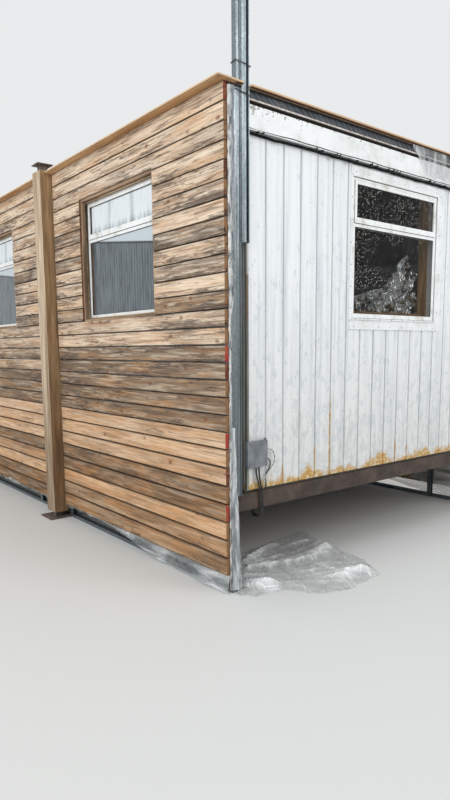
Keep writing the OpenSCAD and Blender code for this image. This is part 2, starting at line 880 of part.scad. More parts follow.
// Switch box with a proud lid, a knob on top, and a gland where each cable leaves it
module isolator_box() {
    y0 = isolator_in - half_w;
    top_z = isolator_z0 + isolator_h;
    lid_x = skin_x + isolator_d - lid_t;
    color("#7d8084") {
        block([batten_x, lid_x], [y0 + 2, isolator_y1 - 2], [isolator_z0 + 2, top_z - 2]);
        block([lid_x, skin_x + isolator_d], [y0, isolator_y1], [isolator_z0, top_z]);
        translate([lid_x + 3, isolator_y1 - knob_d / 2 - 3, top_z - 2])
            cylinder(d = knob_d, h = knob_h, $fn = 32);
        for (start = [supply_a[0], supply_b[0]])
            translate([skin_x + start[0], isolator_y1 + start[1], isolator_z0 + 2 - gland_h])
                cylinder(d = gland_d, h = gland_h, $fn = 6);
        for (z = side_gland_z)
            translate([skin_x + white_loop[0][0], isolator_y1 - 2, isolator_z0 + z])
                rotate([-90, 0, 0]) cylinder(d = side_gland_d, h = side_gland_h, $fn = 6);
    }
}

function unit(v) = v / norm(v);

// Direction of a route at its point i
function heading(route, i) =
    unit(route[min(i + 1, len(route) - 1)] - route[max(i - 1, 0)]);

// The side direction carried along a route without twist, one for each point
function carried(route, side, i = 0) =
    i == len(route) ? [] :
    let (t = heading(route, i), s = unit(side - (side * t) * t))
    concat([s], carried(route, s, i + 1));

// A round cable swept along its route, with a ring at every point
module cable(route, d, side) {
    n = cable_sides;
    last = len(route) - 1;
    sides = carried(route, side);
    points = [
        for (i = [0 : last], k = [0 : n - 1])
            let (a = 360 * k / n, t = heading(route, i))
            route[i] + d / 2 * (cos(a) * sides[i] + sin(a) * cross(t, sides[i]))
    ];
    walls = [
        for (i = [0 : last - 1], k = [0 : n - 1])
            let (a = i * n + k, b = i * n + (k + 1) % n)
            for (face = [[a, b, b + n], [a, b + n, a + n]]) face
    ];
    foot = [[for (k = [0 : n - 1]) n - 1 - k]];
    head = [[for (k = [0 : n - 1]) last * n + k]];
    translate([skin_x, isolator_y1, 0]) polyhedron(points, concat(foot, walls, head));
}

module supply_cable_a() { color("#1d1d1f") cable(supply_a, supply_d, [0, 1, 0]); }
module supply_cable_b() { color("#1d1d1f") cable(supply_b, supply_d, [0, 1, 0]); }
module white_cable_loop() { color("#d8dad8") cable(white_loop, loop_d, [1, 0, 0]); }
module black_cable_loop() { color("#232325") cable(black_loop, loop_d, [1, 0, 0]); }

ground_packers();
chassis_frame();
jack_legs();
leg_sleeves();
floor_deck();
front_wall();
back_wall();
right_end_wall();
left_end_wall();
right_end_skin();
left_end_skin();
end_fascias();
drip_strips();
roof_panel();
roof_insulation();
roof_deck();
coping_boards();
front_stud_frame();
back_stud_frame();
front_membrane();
back_membrane();
loose_membrane();
end_flap();
front_boards_right();
front_boards_middle();
front_boards_left();
back_boards_right();
back_boards_middle();
back_boards_left();
leg_casings();
front_window_frames();
back_window_frames();
end_window_frames();
side_glazing();
end_glazing();
front_window_linings();
back_window_linings();
end_window_surrounds();
door_frame();
door_leaf();
corner_stud();
corner_mast();
corner_battens();
isolator_box();
supply_cable_a();
supply_cable_b();
white_cable_loop();
black_cable_loop();
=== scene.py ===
import math
import random

import bmesh
import bpy
from mathutils import Matrix, Vector, noise


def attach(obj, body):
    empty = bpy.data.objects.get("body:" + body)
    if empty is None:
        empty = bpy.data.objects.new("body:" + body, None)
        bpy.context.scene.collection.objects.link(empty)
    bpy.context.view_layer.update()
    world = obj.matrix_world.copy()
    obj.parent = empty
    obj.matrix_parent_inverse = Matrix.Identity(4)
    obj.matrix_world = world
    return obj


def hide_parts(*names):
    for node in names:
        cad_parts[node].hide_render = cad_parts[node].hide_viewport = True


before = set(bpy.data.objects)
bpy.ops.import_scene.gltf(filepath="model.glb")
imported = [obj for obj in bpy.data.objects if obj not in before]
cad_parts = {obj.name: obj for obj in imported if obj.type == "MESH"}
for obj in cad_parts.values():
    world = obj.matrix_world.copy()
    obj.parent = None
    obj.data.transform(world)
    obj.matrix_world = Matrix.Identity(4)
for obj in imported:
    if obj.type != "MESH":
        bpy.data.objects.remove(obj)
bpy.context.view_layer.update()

# Camera, floor and light
# The camera stands at eye height off the front right corner and looks along the
# boarded side. The floor is a plain pale sheet, and the light is soft and even.

yaw, pitch, roll = (math.radians(a) for a in (51.282, -7.566, -0.445))
ahead = Vector((-math.sin(yaw) * math.cos(pitch), math.cos(yaw) * math.cos(pitch), math.sin(pitch)))
level = Vector((math.cos(yaw), math.sin(yaw), 0))
over = level.cross(ahead)
right = math.cos(roll) * level + math.sin(roll) * over
up = math.cos(roll) * over - math.sin(roll) * level
view = bpy.data.cameras.new("camera")
view.lens = 27.527
view.sensor_width = 36
view.shift_y = 0.03825


def placed(name, data):
    """A new object in the scene."""
    made = bpy.data.objects.new(name, data)
    bpy.context.scene.collection.objects.link(made)
    return made


camera = placed("camera", view)
turned_view = Matrix((right, up, -ahead)).transposed().to_4x4()
camera.matrix_world = Matrix.Translation((7.3084, -4.2686, 1.6447)) @ turned_view
bpy.context.scene.camera = camera
bpy.context.scene.view_settings.view_transform = "Standard"


def lin(code, alpha=1):
    """An sRGB hex colour as linear numbers."""
    parts = [int(code[i:i + 2], 16) / 255 for i in (1, 3, 5)]
    return [p / 12.92 if p <= 0.04045 else ((p + 0.055) / 1.055) ** 2.4 for p in parts] + [alpha]


class Value:
    """An output of a node. Arithmetic on it adds math nodes to the same tree."""

    def __init__(self, node, name=None):
        self.node, self.name = node, name

    def __getitem__(self, name):
        return Value(self.node, name)

    def socket(self):
        return self.node.outputs[self.name] if self.name else next(s for s in self.node.outputs if s.enabled)

    def math(self, operation, *others):
        return add(self, "ShaderNodeMath", dict(enumerate((self, *others))), operation=operation)

    def axis(self, letter):
        return add(self, "ShaderNodeSeparateXYZ", {"Vector": self})[letter]

    def __rsub__(self, other):
        return self.math("MULTIPLY_ADD", -1, other)

    x = property(lambda self: self.axis("X"))
    y = property(lambda self: self.axis("Y"))
    z = property(lambda self: self.axis("Z"))
    red = property(lambda self: add(self, "ShaderNodeSeparateColor", {"Color": self})["Red"])


for word, operation in (
        ("__add__", "ADD"), ("__sub__", "SUBTRACT"), ("__mul__", "MULTIPLY"), ("__truediv__", "DIVIDE"),
        ("__mod__", "MODULO"), ("__lt__", "LESS_THAN"), ("__gt__", "GREATER_THAN"), ("__abs__", "ABSOLUTE"),
        ("maximum", "MAXIMUM"), ("minimum", "MINIMUM"), ("pingpong", "PINGPONG")):
    setattr(Value, word, lambda self, *others, kind=operation: self.math(kind, *others))


def add(tree, kind, inputs={}, **settings):
    """Add a node to a tree, or beside a value, with its settings and its inputs set or
    linked. A string that starts with a hash is a colour."""
    tree = tree.node.id_data if isinstance(tree, Value) else tree
    made = tree.nodes.new(kind)
    for key, value in settings.items():
        setattr(made, key, value)
    for key, value in inputs.items():
        if isinstance(value, Value):
            tree.links.new(value.socket(), made.inputs[key])
        else:
            made.inputs[key].default_value = lin(value) if str(value).startswith("#") else value
    return Value(made)


def surface(material, colour, rough, height=0, distance=0, strength=0, metal=0, shine=0.5, cover=1):
    """The finish of a material, with bumps of a height where a strength is given."""
    tree = material.node_tree
    look = {"Base Color": colour, "Roughness": rough, "Metallic": metal, "Specular IOR Level": shine,
            "Alpha": cover}
    if strength:
        look["Normal"] = add(tree, "ShaderNodeBump", {"Height": height, "Distance": distance,
                                                      "Strength": strength})
    add(tree, "ShaderNodeOutputMaterial", {"Surface": add(tree, "ShaderNodeBsdfPrincipled", look)})


def new_material(name):
    """An empty node material, and the place on the object in metres."""
    made = bpy.data.materials.new(name)
    made.use_nodes = True
    made.node_tree.nodes.clear()
    return made, add(made.node_tree, "ShaderNodeTexCoord")["Object"]


def new_piece(name, mesh, material, smooth=None):
    """A mesh as a piece of the cabin: material, body, smooth angle."""
    made = placed(name, mesh)
    mesh.materials.clear()
    mesh.materials.append(material)
    if smooth is not None:
        mesh.shade_smooth()
        mesh.set_sharp_from_angle(angle=math.radians(smooth))
    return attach(made, "root") or made


def paint_node(material, *names):
    """Give CAD nodes their material."""
    for name in names:
        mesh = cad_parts[name].data
        mesh.materials.clear()
        mesh.materials.append(material)


floor_mesh = bpy.data.meshes.new("floor")
floor_mesh.from_pydata([(-60, -60, 0), (60, -60, 0), (60, 60, 0), (-60, 60, 0)], [], [(0, 1, 2, 3)])
floor = placed("floor", floor_mesh)
pale_floor, _ = new_material("pale_studio_floor")
surface(pale_floor, "#dcdcd9", 0.9, shine=0.2)
floor_mesh.materials.append(pale_floor)

world = bpy.data.worlds.new("studio")
bpy.context.scene.world = world
world.use_nodes = True
world.node_tree.nodes.clear()
soft = add(world.node_tree, "ShaderNodeBackground", {"Color": "#eef2f6", "Strength": 0.76})
seen = add(soft, "ShaderNodeBackground", {"Color": "#e9ebec", "Strength": 1})
rays = add(soft, "ShaderNodeLightPath")
shown = rays["Is Camera Ray"].maximum(rays["Is Transmission Ray"]).maximum(rays["Is Glossy Ray"])
sky = add(soft, "ShaderNodeMixShader", {0: shown, 1: soft, 2: seen})
add(soft, "ShaderNodeOutputWorld", {"Surface": sky})

for spot, aim, size, power in (
        ((6, -13, 9), (1, -1.8, 1.5), 9, 900),
        ((15, 4, 7.5), (4.2, 0, 1.6), 8, 560),
        ((-12, 9, 9), (-2, 1, 1.5), 9, 560)):
    lamp_data = bpy.data.lights.new("soft_lamp", "AREA")
    lamp_data.size = size
    lamp_data.energy = power
    lamp = placed("soft_lamp", lamp_data)
    lamp.location = spot
    lamp.rotation_euler = (Vector(aim) - Vector(spot)).to_track_quat("-Z", "Y").to_euler()


# Free cables at the isolator
# Two black supply cables drop from the box and turn in under the floor. A white and a
# black loop leave its side, sag and go in behind the skin's foot. Each rides the
# route that the part gives it, as a smooth curve.


def cable(name, route, diameter, material):
    """A cable from its points in millimetres, beside the box's edge on the skin's face."""
    points = [(skin_x + x / 1000, box_y + y / 1000, z / 1000) for x, y, z in route]
    curve = bpy.data.curves.new(name + "_cord", "CURVE")
    curve.dimensions = "3D"
    curve.bevel_depth, curve.bevel_resolution, curve.resolution_u = diameter / 2, 3, 5
    curve.use_fill_caps = True
    line = curve.splines.new("BEZIER")
    line.bezier_points.add(len(points) - 1)
    for knot, point in zip(line.bezier_points, points):
        knot.co, knot.handle_left_type, knot.handle_right_type = point, "AUTO", "AUTO"
    curve.materials.append(material)
    made = placed(name + "_cord", curve)
    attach(made, "root")
    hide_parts(name)
    points[0]


def texture(kind, place, scale, inputs={}, **settings):
    """A texture with so many lumps or cells in a metre, one number or one for each axis."""
    if isinstance(scale, tuple):
        place = add(place, "ShaderNodeVectorMath", {0: place, 1: scale}, operation="MULTIPLY")
        scale = 1
    return add(place, kind, {"Vector": place, "Scale": scale, **inputs}, **settings)


def cloud(place, scale, detail=2, rough=0.5, swirl=0):
    """Soft noise, finer with more detail and bent by swirl."""
    inputs = {"Detail": detail, "Roughness": rough, "Distortion": swirl}
    return texture("ShaderNodeTexNoise", place, scale, inputs)


def ramp(value, *stops):
    """A colour from stops, each (position, hex code)."""
    made = add(value, "ShaderNodeValToRGB", {"Fac": value})
    bar = made.node.color_ramp.elements
    for k, (position, code) in enumerate(stops):
        stop = bar[k] if k < 2 else bar.new(position)
        stop.position, stop.color = position, lin(code)
    return made


def stained(name, scale, stops, rough, detail=2, ragged=0.5, relief=(), **finish):
    """A material of one stuff whose stains run through the stops. Relief is the height
    of its bumps in metres and their strength."""
    made, place = new_material(name)
    stains = cloud(place, scale, detail, ragged)
    surface(made, ramp(stains, *stops), rough, stains, *relief, **finish)
    return made


skin_x, box_y = 4.195, -1.429
black_sheath = stained("dusty_black_cable_sheath", 60,
                       ((0.38, "#161617"), (0.6, "#2e2d2c"), (0.72, "#6d675f")), 0.5, 4, 0.6)
# Painted shade: the white sheath is grey all over, so that the thin cable shows against the white skin
white_sheath = stained("white_cable_sheath_painted_shade", 60,
                       ((0.36, "#67645d"), (0.5, "#a9a69d"), (0.64, "#cfccc4")), 0.45, 4, 0.6)
# Points in whole millimetres
under_floor = ((22, 547), (18, 522), (7, 499), (-11, 483), (-35, 477), (-58, 483),
               (-76, 499), (-87, 522), (-89, 560), (-89, 612), (-89, 664))
under_skin = ((24, 714), (22, 700), (16, 688), (6, 679), (-3, 675), (-12, 674))
supply_a = [(21, -87, 827), (21, -87, 800), (22, -79, 765), (24, -69, 725),
            (24, -60, 685), (24, -53, 640), (23, -48, 592)]
supply_b = [(21, -61, 827), (21, -61, 800), (21, -57, 765), (22, -49, 725),
            (23, -41, 685), (23, -34, 640), (22, -30, 592)]
white_loop = [(16, 12, 956), (16, 27, 956), (18, 50, 950), (21, 70, 933),
              (23, 80, 909), (24, 82, 882), (24, 74, 855), (24, 58, 831),
              (24, 38, 810), (24, 17, 791), (24, -1, 769), (24, -11, 742)]
black_loop = [(16, 12, 885), (15, 25, 885), (13, 41, 877), (11, 51, 861),
              (11, 53, 842), (11, 46, 822), (11, 33, 804), (11, 19, 788),
              (12, 8, 769), (16, 2, 750), (22, 1, 731)]
cable("supply_cable_a", supply_a + [(x, -46, z) for x, z in under_floor], 0.012, black_sheath)
cable("supply_cable_b", supply_b + [(x - 1, -28, z + 1) for x, z in under_floor], 0.012, black_sheath)
cable("white_cable_loop", white_loop + [(x, -13, z) for x, z in under_skin], 0.008, white_sheath)
cable("black_cable_loop", black_loop + [(x, 1, z) for x, z in under_skin], 0.008, black_sheath)

# Packing under the chassis
# Reused sleepers, stacked dry in line with the cabin's middle. Rough sawn softwood,
# black with creosote on the faces and paler where the corners are rubbed.

def mix(share, first, second, blend="MIX", kind="RGBA"):
    """The first laid over by a share of the second: colours, vectors or numbers."""
    beside = next(v for v in (share, first, second) if isinstance(v, Value))
    place = {"FLOAT": 2, "VECTOR": 4, "RGBA": 6}[kind]
    return add(beside, "ShaderNodeMix", {0: share, place: first, place + 1: second}, data_type=kind,
               blend_type=blend)


def remap(value, low, high, start=0, end=1):
    """The value moved from the range low to high into the range start to end, and held there."""
    return add(value, "ShaderNodeMapRange", {"Value": value, "From Min": low, "From Max": high,
                                             "To Min": start, "To Max": end})


def wood_figure(along, light, dark, grey, worn):
    """Colour and height of sawn softwood from a vector in metres whose X runs with the
    grain. Fibres are drawn 8 mm apart, coarser than real ones, so that they show."""
    fibres = cloud(along, (5, 120, 120), 3)
    rings = cloud(along, (1.1, 17, 17), 4, 0.5, 0.9)
    stain = cloud(along, (1.6, 5, 5), 5, 0.6)
    wood = ramp(rings, (0.34, dark), (0.62, light))
    wood = mix(0.6, wood, ramp(fibres, (0.3, "#b3aca6"), (0.6, "#ffffff")), "MULTIPLY")
    wood = mix(remap(stain, 0.72 - 0.3 * worn, 0.86 - 0.3 * worn, 0, 0.85), wood, grey)
    return wood, fibres + rings


def turned(place, turn):
    """A place turned by three angles."""
    return add(place, "ShaderNodeMapping", {"Vector": place, "Rotation": turn})


def new_timber(name, turn, light, dark, grey, worn, rough=0.8, relief=0.0012):
    """A timber material whose grain runs along X after the turn, a Mapping rotation."""
    made, place = new_material(name)
    wood, height = wood_figure(turned(place, turn), light, dark, grey, worn)
    surface(made, wood, rough, height, relief, 0.7, shine=0.3)
    return made


grain_x, grain_y, grain_z = (0, 0, 0), (0, 0, math.pi / 2), (0, math.pi / 2, 0)
paint_node(new_timber("creosoted_sleeper", grain_y, "#6f5c49", "#3b2f27", "#2b2522", 0.5, 0.75, 0.003),
           "ground_packers")

# Chassis
# Cold-rolled channels welded into a ring with cross members, painted with brown oxide
# paint. The paint has gone chalky, and rust comes through at the edges.
oxide_paint, place = new_material("chalky_oxide_paint")
patches = cloud(place, 6, 6, 0.65)
runs = cloud(place, (22, 22, 6), 4)
colour = ramp(patches, (0.32, "#2b2420"), (0.5, "#40342d"), (0.7, "#57483e"))
spots = remap(runs, 0.6, 0.72, 0, 0.7)
colour = mix(spots, colour, "#5f4230")
surface(oxide_paint, colour, 0.72, runs, 0.0008, 0.6)
paint_node(oxide_paint, "chassis_frame")

# Jack legs
# Square steel tubes that telescope in welded sleeves, each with a foot plate and a
# flat lifting cap. The same brown paint, worn through to dull steel at the sleeves.
leg_paint, place = new_material("worn_leg_paint")
scuffs = cloud(place, (30, 30, 4), 5, 0.6)
colour = ramp(scuffs, (0.36, "#4a4039"), (0.55, "#665a50"), (0.7, "#8a8078"))
surface(leg_paint, colour, 0.6, scuffs, 0.0006, 0.5, metal=remap(scuffs, 0.58, 0.7, 0, 0.6))
paint_node(leg_paint, "jack_legs", "leg_sleeves")

# Floor and body panels
# A board floor and flat sandwich panels with a vinyl-faced lining inside. The lining
# is off-white with damp stains near the floor, and painted darker within the room as shade.
floor_board = new_timber("trodden_floor_board", grain_x, "#8f7a5f", "#6d5a45", "#57493c", 0.35, 0.6, 0.0006)
paint_node(floor_board, "floor_deck")
lining_x, end_window_y = 4.125, 0.028
lining_panel, place = new_material("vinyl_faced_panel")
damp = cloud(place, 1.7, 5, 0.55)
low = remap(place.z, 0.7, 2.4, 0.22, 0)
colour = ramp(damp + low, (0.5, "#cfcdc3"), (0.75, "#a3957c"))
colour = mix(remap(place.z, 0.684, 0.69, 0.9, 0), colour, "#2b2724")
inside = abs(place.x) < lining_x
# Round the end windows the cut edge of the panel has a timber lipping
edge = (abs(place.y - end_window_y) < 0.6) * (place.z > 1.86) * (1 - inside)
colour = mix(edge, colour, "#a5804f")
# Painted shade: within the room the panels are darker
colour = mix(inside * 0.75, colour, "#6b665b")
surface(lining_panel, colour, 0.5, cloud(place, 180), 0.0003, 0.4)
paint_node(lining_panel, "front_wall", "back_wall", "right_end_wall", "left_end_wall", "roof_panel")

# Framing and foil inside the right end window
# Sawn studs from floor to roof with a rail between them, and a length of foil
# insulation that has slid down and bunched on the rail behind the lower pane.

def closed_mesh(name, shape):
    """A plain mesh from a bmesh, which is freed."""
    made = bpy.data.meshes.new(name)
    shape.to_mesh(made)
    shape.free()
    return made


def rounded_boxes(name, boxes, edge):
    """A mesh of boxes given by low and high corners, with their edges rounded."""
    shape = bmesh.new()
    for low, high in boxes:
        low, high = Vector(low), Vector(high)
        bmesh.ops.create_cube(shape, size=1, matrix=Matrix.Translation((low + high) / 2)
                              @ Matrix.Diagonal((*(high - low), 1)))
    bmesh.ops.bevel(shape, geom=shape.edges[:], offset=edge, segments=2, affect="EDGES")
    return closed_mesh(name, shape)


def cloth_grid(name, across, upward, place, keep=lambda a, b: True):
    """A sheet from two rows of positions: place(a, b) gives each point, and keep(a, b)
    says whether the patch whose middle is at (a, b) is there."""
    shape = bmesh.new()
    points = {}
    for i in range(len(across) - 1):
        for k in range(len(upward) - 1):
            if not keep((across[i] + across[i + 1]) / 2, (upward[k] + upward[k + 1]) / 2):
                continue
            ring = ((i, k), (i + 1, k), (i + 1, k + 1), (i, k + 1))
            for at in ring:
                if at not in points:
                    points[at] = shape.verts.new(place(across[at[0]], upward[at[1]]))
            shape.faces.new([points[at] for at in ring])
    return closed_mesh(name, shape)


def steps(start, end, size, *cuts):
    """Positions from start to end no further apart than size, with each cut among them."""
    stops = sorted({start, end, *(c for c in cuts if start < c < end)})
    made = [start]
    for a, b in zip(stops, stops[1:]):
        count = max(1, math.ceil((b - a) / size))
        made += [a + (b - a) * (j + 1) / count for j in range(count)]
    return made


inner_x = 4.121
floor_top, room_top = 0.725, 3.024
studwork = rounded_boxes("window_studwork", (
    ((inner_x - 0.046, 0.640, floor_top), (inner_x, 0.692, room_top)),
    ((inner_x - 0.046, -0.662, floor_top), (inner_x, -0.620, room_top)),
    ((inner_x - 0.055, 0.522, 1.938), (inner_x - 0.010, 0.575, room_top)),
    ((inner_x - 0.009, 0.558, 1.890), (4.176, 0.574, 2.904)),
    ((inner_x - 0.046, -0.620, 1.892), (inner_x, 0.640, 1.938))), 0.002)
sawn_stud = new_timber("sawn_stud", grain_z, "#e6c08a", "#b98f5c", "#8a6d4c", 0.2)
new_piece("window_studwork", studwork, sawn_stud)

# A post deeper in the room, its timber painted dark as the shade there
back_post = rounded_boxes("dark_back_post", [((3.975, 0.372, floor_top), (4.005, 0.410, room_top))], 0.003)
shade_darkened_post = new_timber("shade_darkened_post", grain_z, "#463b31", "#241e19", "#1b1816", 0.3)
new_piece("dark_back_post", back_post, shade_darkened_post)

foil_foot, foil_left, foil_right = 1.926, -0.38, 0.62


def foil_place(a, b):
    rise = min(1, max(0, (a + 0.38) / 0.6))
    crown = 0.12 + 0.14 * rise + 0.26 * max(0, 1 - abs(a - 0.37) / 0.34) ** 1.4
    z = foil_foot + b * crown
    ruck = 1 - 3 * abs(noise.noise((a * 9 + z * 4, z * 6, 0.3)))
    ruck += 0.8 * noise.noise((a * 21, z * 17, 4.1))
    return inner_x - 0.090 + 0.026 * ruck, a + 0.02 * noise.noise((a * 9, b * 6, 9)), z


foil = cloth_grid("insulating_foil", steps(foil_left, foil_right, 0.016), steps(0, 1, 0.05), foil_place)
bright_foil, place = new_material("aluminised_film")


def voronoi(place, scale, feature="F1"):
    """Cells, each with a colour of its own and a distance from its middle or edge."""
    return texture("ShaderNodeTexVoronoi", place, scale, feature=feature)


# Creases run down from the crown
fan = add(place, "ShaderNodeMapping", {"Vector": place, "Rotation": (0.5, 0, 0),
                                       "Scale": (20, 62, 17)})
creases = voronoi(fan, 1)
# Painted reflections and shade of the crumples: the metal's colour runs from dark grey to white in patches
film = cloud(place, (14, 17, 12), 6, 0.68, 1.6)
film = ramp(film, (0.38, "#5a5c5c"), (0.5, "#c9cccc"), (0.58, "#ffffff"))
surface(bright_foil, film, 0.12, creases["Distance"], 0.006, 0.6, metal=1)
foil_area = sum(f.area for f in foil.polygons)
foil = new_piece("insulating_foil", foil, bright_foil)

# Ribbed end skins
# Thin steel sheet with a narrow groove every 166 mm, brush painted white many times.
# Grey water streaks run down it, the grooves hold dirt, and rust rises from the foot.
rib_pitch, skin_foot = 0.166, 0.683
skin_paint, place = new_material("brushed_white_paint_on_steel")
groove = (place.y - rib_pitch / 2).pingpong(rib_pitch / 2)
height = place.z - skin_foot
long_runs = cloud(place, (3, 26, 1.1), 6, 0.62)
short_runs = cloud(place, (8, 75, 17), 5, 0.7)
clouds = cloud(place, 2.1, 3)
colour = ramp(long_runs, (0.3, "#cfd5d9"), (0.44, "#e3e6e8"), (0.58, "#eef0f0"))
flakes = remap(short_runs + clouds * 0.55 + remap(height, 0, 1.3, 0.09, 0), 0.9, 1, 0, 0.4)
colour = mix(flakes, colour, "#9ea1a2")
colour = mix(remap(groove, 0.004, 0.013, 0.38, 0), colour, "#8b9297")
# Peeled patches show blue-grey zinc with white edges, mostly below breast height
peel = cloud(place, (5, 13, 8), 7, 0.72) + remap(height, 0, 1.7, 0.05, -0.06)
colour = mix(remap(peel, 0.53, 0.58, 0, 0.42), colour, "#bcc6cd")
colour = mix(remap(abs(peel - 0.53), 0, 0.012, 0.55, 0), colour, "#f8f9f9")
colour = mix(remap(height, 0, 1.5, 0.32, 0), colour, "#b3aca0")
# Rust stands up to 100 mm above the foot, and higher in the grooves that carry water
hills = cloud(place, (0, 3.4, 0))
ragged = cloud(place, (4, 14, 16), 4, 0.62)
rust = remap(remap(ragged * 0.45 + hills, 0.56, 0.92, -0.012, 0.12) - height, -0.02, 0.03)
for y, top in ((-1.245, 0.16), (-0.747, 0.62), (-0.913, 0.26), (0.083, 0.2), (0.249, 0.14), (1.245, 0.75)):
    near = remap(short_runs * 0.045 - 0.012 - abs(place.y - y), -0.004, 0.006, 0, 0.9)
    rust = rust.maximum(near * remap(height, top * 0.75, top, 1, 0))
broken = remap(cloud(place, 30, 5, 0.7), 0.36, 0.5, 0.35, 1)
rust = rust * broken
colour = mix(rust, colour, ramp(broken, (0.3, "#e0c994"), (0.7, "#d0b06b"), (1, "#bd9350")))
surface(skin_paint, colour, remap(rust, 0, 1, 0.42, 0.85), short_runs, 0.0009, 0.5)
paint_node(skin_paint, "right_end_skin", "left_end_skin")

# Fascias over the ends
# A flat folded strip painted white, fixed over the top of the skin, with a small drip
# bead along its foot. The paint is blotchy, and chipped to grey along its upper edge.
trim_paint, place = new_material("white_gloss_on_trim")
blotch = cloud(place, 6, 6, 0.66)
chips = cloud(place, 30, 4, 0.6)
high = remap(place.z, 3.12, 3.174, 0, 0.13)
near = remap(place.y, -1.5, -0.9, 0.09, 0) * (place.z > 3.1)
chips = remap(chips + high + near, 0.71, 0.74, 0, 0.85)
colour = ramp(blotch, (0.34, "#d9d9d4"), (0.47, "#e9eaea"), (0.6, "#f1f2f2"))
colour = mix(chips, colour, "#8e8b85")
surface(trim_paint, colour, 0.4, blotch, 0.001, 0.4)
paint_node(trim_paint, "end_fascias", "end_window_surrounds")

# Rubber strip under the fascias
# A flat black rubber strip laid in mastic under the fascia. Lumps of old mastic stick
# out on it, and a cracked line of it runs along the foot of the fascia.

def new_tree(name, **sizes):
    """A geometry tree with a named input for each size, and its input node."""
    tree = bpy.data.node_groups.new(name, "GeometryNodeTree")
    tree.interface.new_socket("Geometry", in_out="INPUT", socket_type="NodeSocketGeometry")
    for key, value in sizes.items():
        tree.interface.new_socket(key, in_out="INPUT", socket_type="NodeSocketFloat").default_value = value
    tree.interface.new_socket("Material", in_out="INPUT", socket_type="NodeSocketMaterial")
    tree.interface.new_socket("Geometry", in_out="OUTPUT", socket_type="NodeSocketGeometry")
    return tree, add(tree, "NodeGroupInput")


def close_tree(tree, given, shape, smooth=False):
    """End a tree: real geometry, its shading and its material."""
    shape = add(tree, "GeometryNodeRealizeInstances", {"Geometry": shape})
    shape = add(tree, "GeometryNodeSetShadeSmooth", {"Geometry": shape, "Shade Smooth": smooth})
    shape = add(tree, "GeometryNodeSetMaterial", {"Geometry": shape, "Material": given["Material"]})
    add(tree, "NodeGroupOutput", {"Geometry": shape})


def grow(name, tree, source, material, finish, **sizes):
    """Run a geometry tree on a mesh, and keep the result as a piece with a plain mesh."""
    seed = placed(name + "_seed", source)
    step = seed.modifiers.new(name, "NODES")
    step.node_group = tree
    for socket in tree.interface.items_tree:
        if socket.in_out == "INPUT" and socket.name in sizes:
            step[socket.identifier] = sizes[socket.name]
        elif socket.in_out == "INPUT" and socket.name == "Material":
            step[socket.identifier] = material
    bpy.context.view_layer.update()
    whole = seed.evaluated_get(bpy.context.evaluated_depsgraph_get())
    mesh = bpy.data.meshes.new_from_object(whole)
    bpy.data.objects.remove(seed)
    mesh.name = name
    made = placed(name, mesh)
    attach(made, "root")
    return made


def line_mesh(name, paths, closed=False, **values):
    """Edges through the points of each path. A value is one number for each path, or a
    list with one for each of its points."""
    made = bpy.data.meshes.new(name)
    points, edges = [], []
    for path in paths:
        first = len(points)
        points += [tuple(p) for p in path]
        edges += [(first + i, first + i + 1) for i in range(len(path) - 1)]
        if closed:
            edges.append((len(points) - 1, first))
    made.from_pydata(points, edges, [])
    for key, numbers in values.items():
        flat = []
        for path, number in zip(paths, numbers):
            flat += list(number) if hasattr(number, "__len__") else [number] * len(path)
        made.attributes.new(key, "FLOAT", "POINT").data.foreach_set("value", flat)
    return made


def swept(line, deep, high, corner, count):
    """An upright rectangle with rounded corners, swept along a curve."""
    line = add(line, "GeometryNodeSetCurveNormal", {"Curve": line}, mode="Z_UP")
    outline = add(line, "GeometryNodeCurvePrimitiveQuadrilateral", {"Width": deep, "Height": high})
    outline = add(line, "GeometryNodeFilletCurve",
                  {"Curve": outline, "Count": count, "Radius": corner, "Limit Radius": True}, mode="POLY")
    return add(line, "GeometryNodeCurveToMesh", {"Curve": line, "Profile Curve": outline, "Fill Caps": True})


bead_tree, given = new_tree("swept_bead", Width=0.006, Depth=0.006, Corner=0.001)
line = add(bead_tree, "GeometryNodeMeshToCurve", {"Mesh": given["Geometry"]})
close_tree(bead_tree, given, swept(line, given["Depth"], given["Width"], given["Corner"], 2), smooth=True)

head_tree, given = new_tree("fastener_heads", Radius=0.004, Height=0.0015)
flat_share = given["Height"] / given["Radius"]
head = add(head_tree, "GeometryNodeMeshUVSphere", {"Segments": 8, "Rings": 5, "Radius": given["Radius"]})
scale = add(head_tree, "ShaderNodeCombineXYZ", {"X": 1, "Y": 1, "Z": flat_share})
head = add(head_tree, "GeometryNodeTransform", {"Geometry": head, "Scale": scale})
facing = add(head_tree, "GeometryNodeInputNamedAttribute", {"Name": "facing"}, data_type="FLOAT_VECTOR")
turn = add(head_tree, "FunctionNodeAlignRotationToVector", {"Vector": facing}, axis="Z")
heads = add(head_tree, "GeometryNodeInstanceOnPoints", {"Points": given["Geometry"], "Instance": head,
                                                        "Rotation": turn})
close_tree(head_tree, given, heads, smooth=True)


def spot_mesh(name, spots):
    """Loose points for fasteners, each (place, direction that its head faces)."""
    made = bpy.data.meshes.new(name)
    made.from_pydata([s[0] for s in spots], [], [])
    made.attributes.new("facing", "FLOAT_VECTOR", "POINT").data.foreach_set(
        "vector", [c for s in spots for c in s[1]])
    return made


def beads(name, paths, material, finish, width, depth, corner, closed=True):
    """Soft-edged strips swept along the paths, as one piece."""
    return grow(name, bead_tree, line_mesh(name + "_lines", paths, closed), material, finish,
                Width=width, Depth=depth, Corner=corner)


def fasteners(name, spots, material, finish, radius, height):
    """Round heads at the spots, as one piece."""
    grow(name, head_tree, spot_mesh(name + "_spots", spots), material, finish, Radius=radius, Height=height)


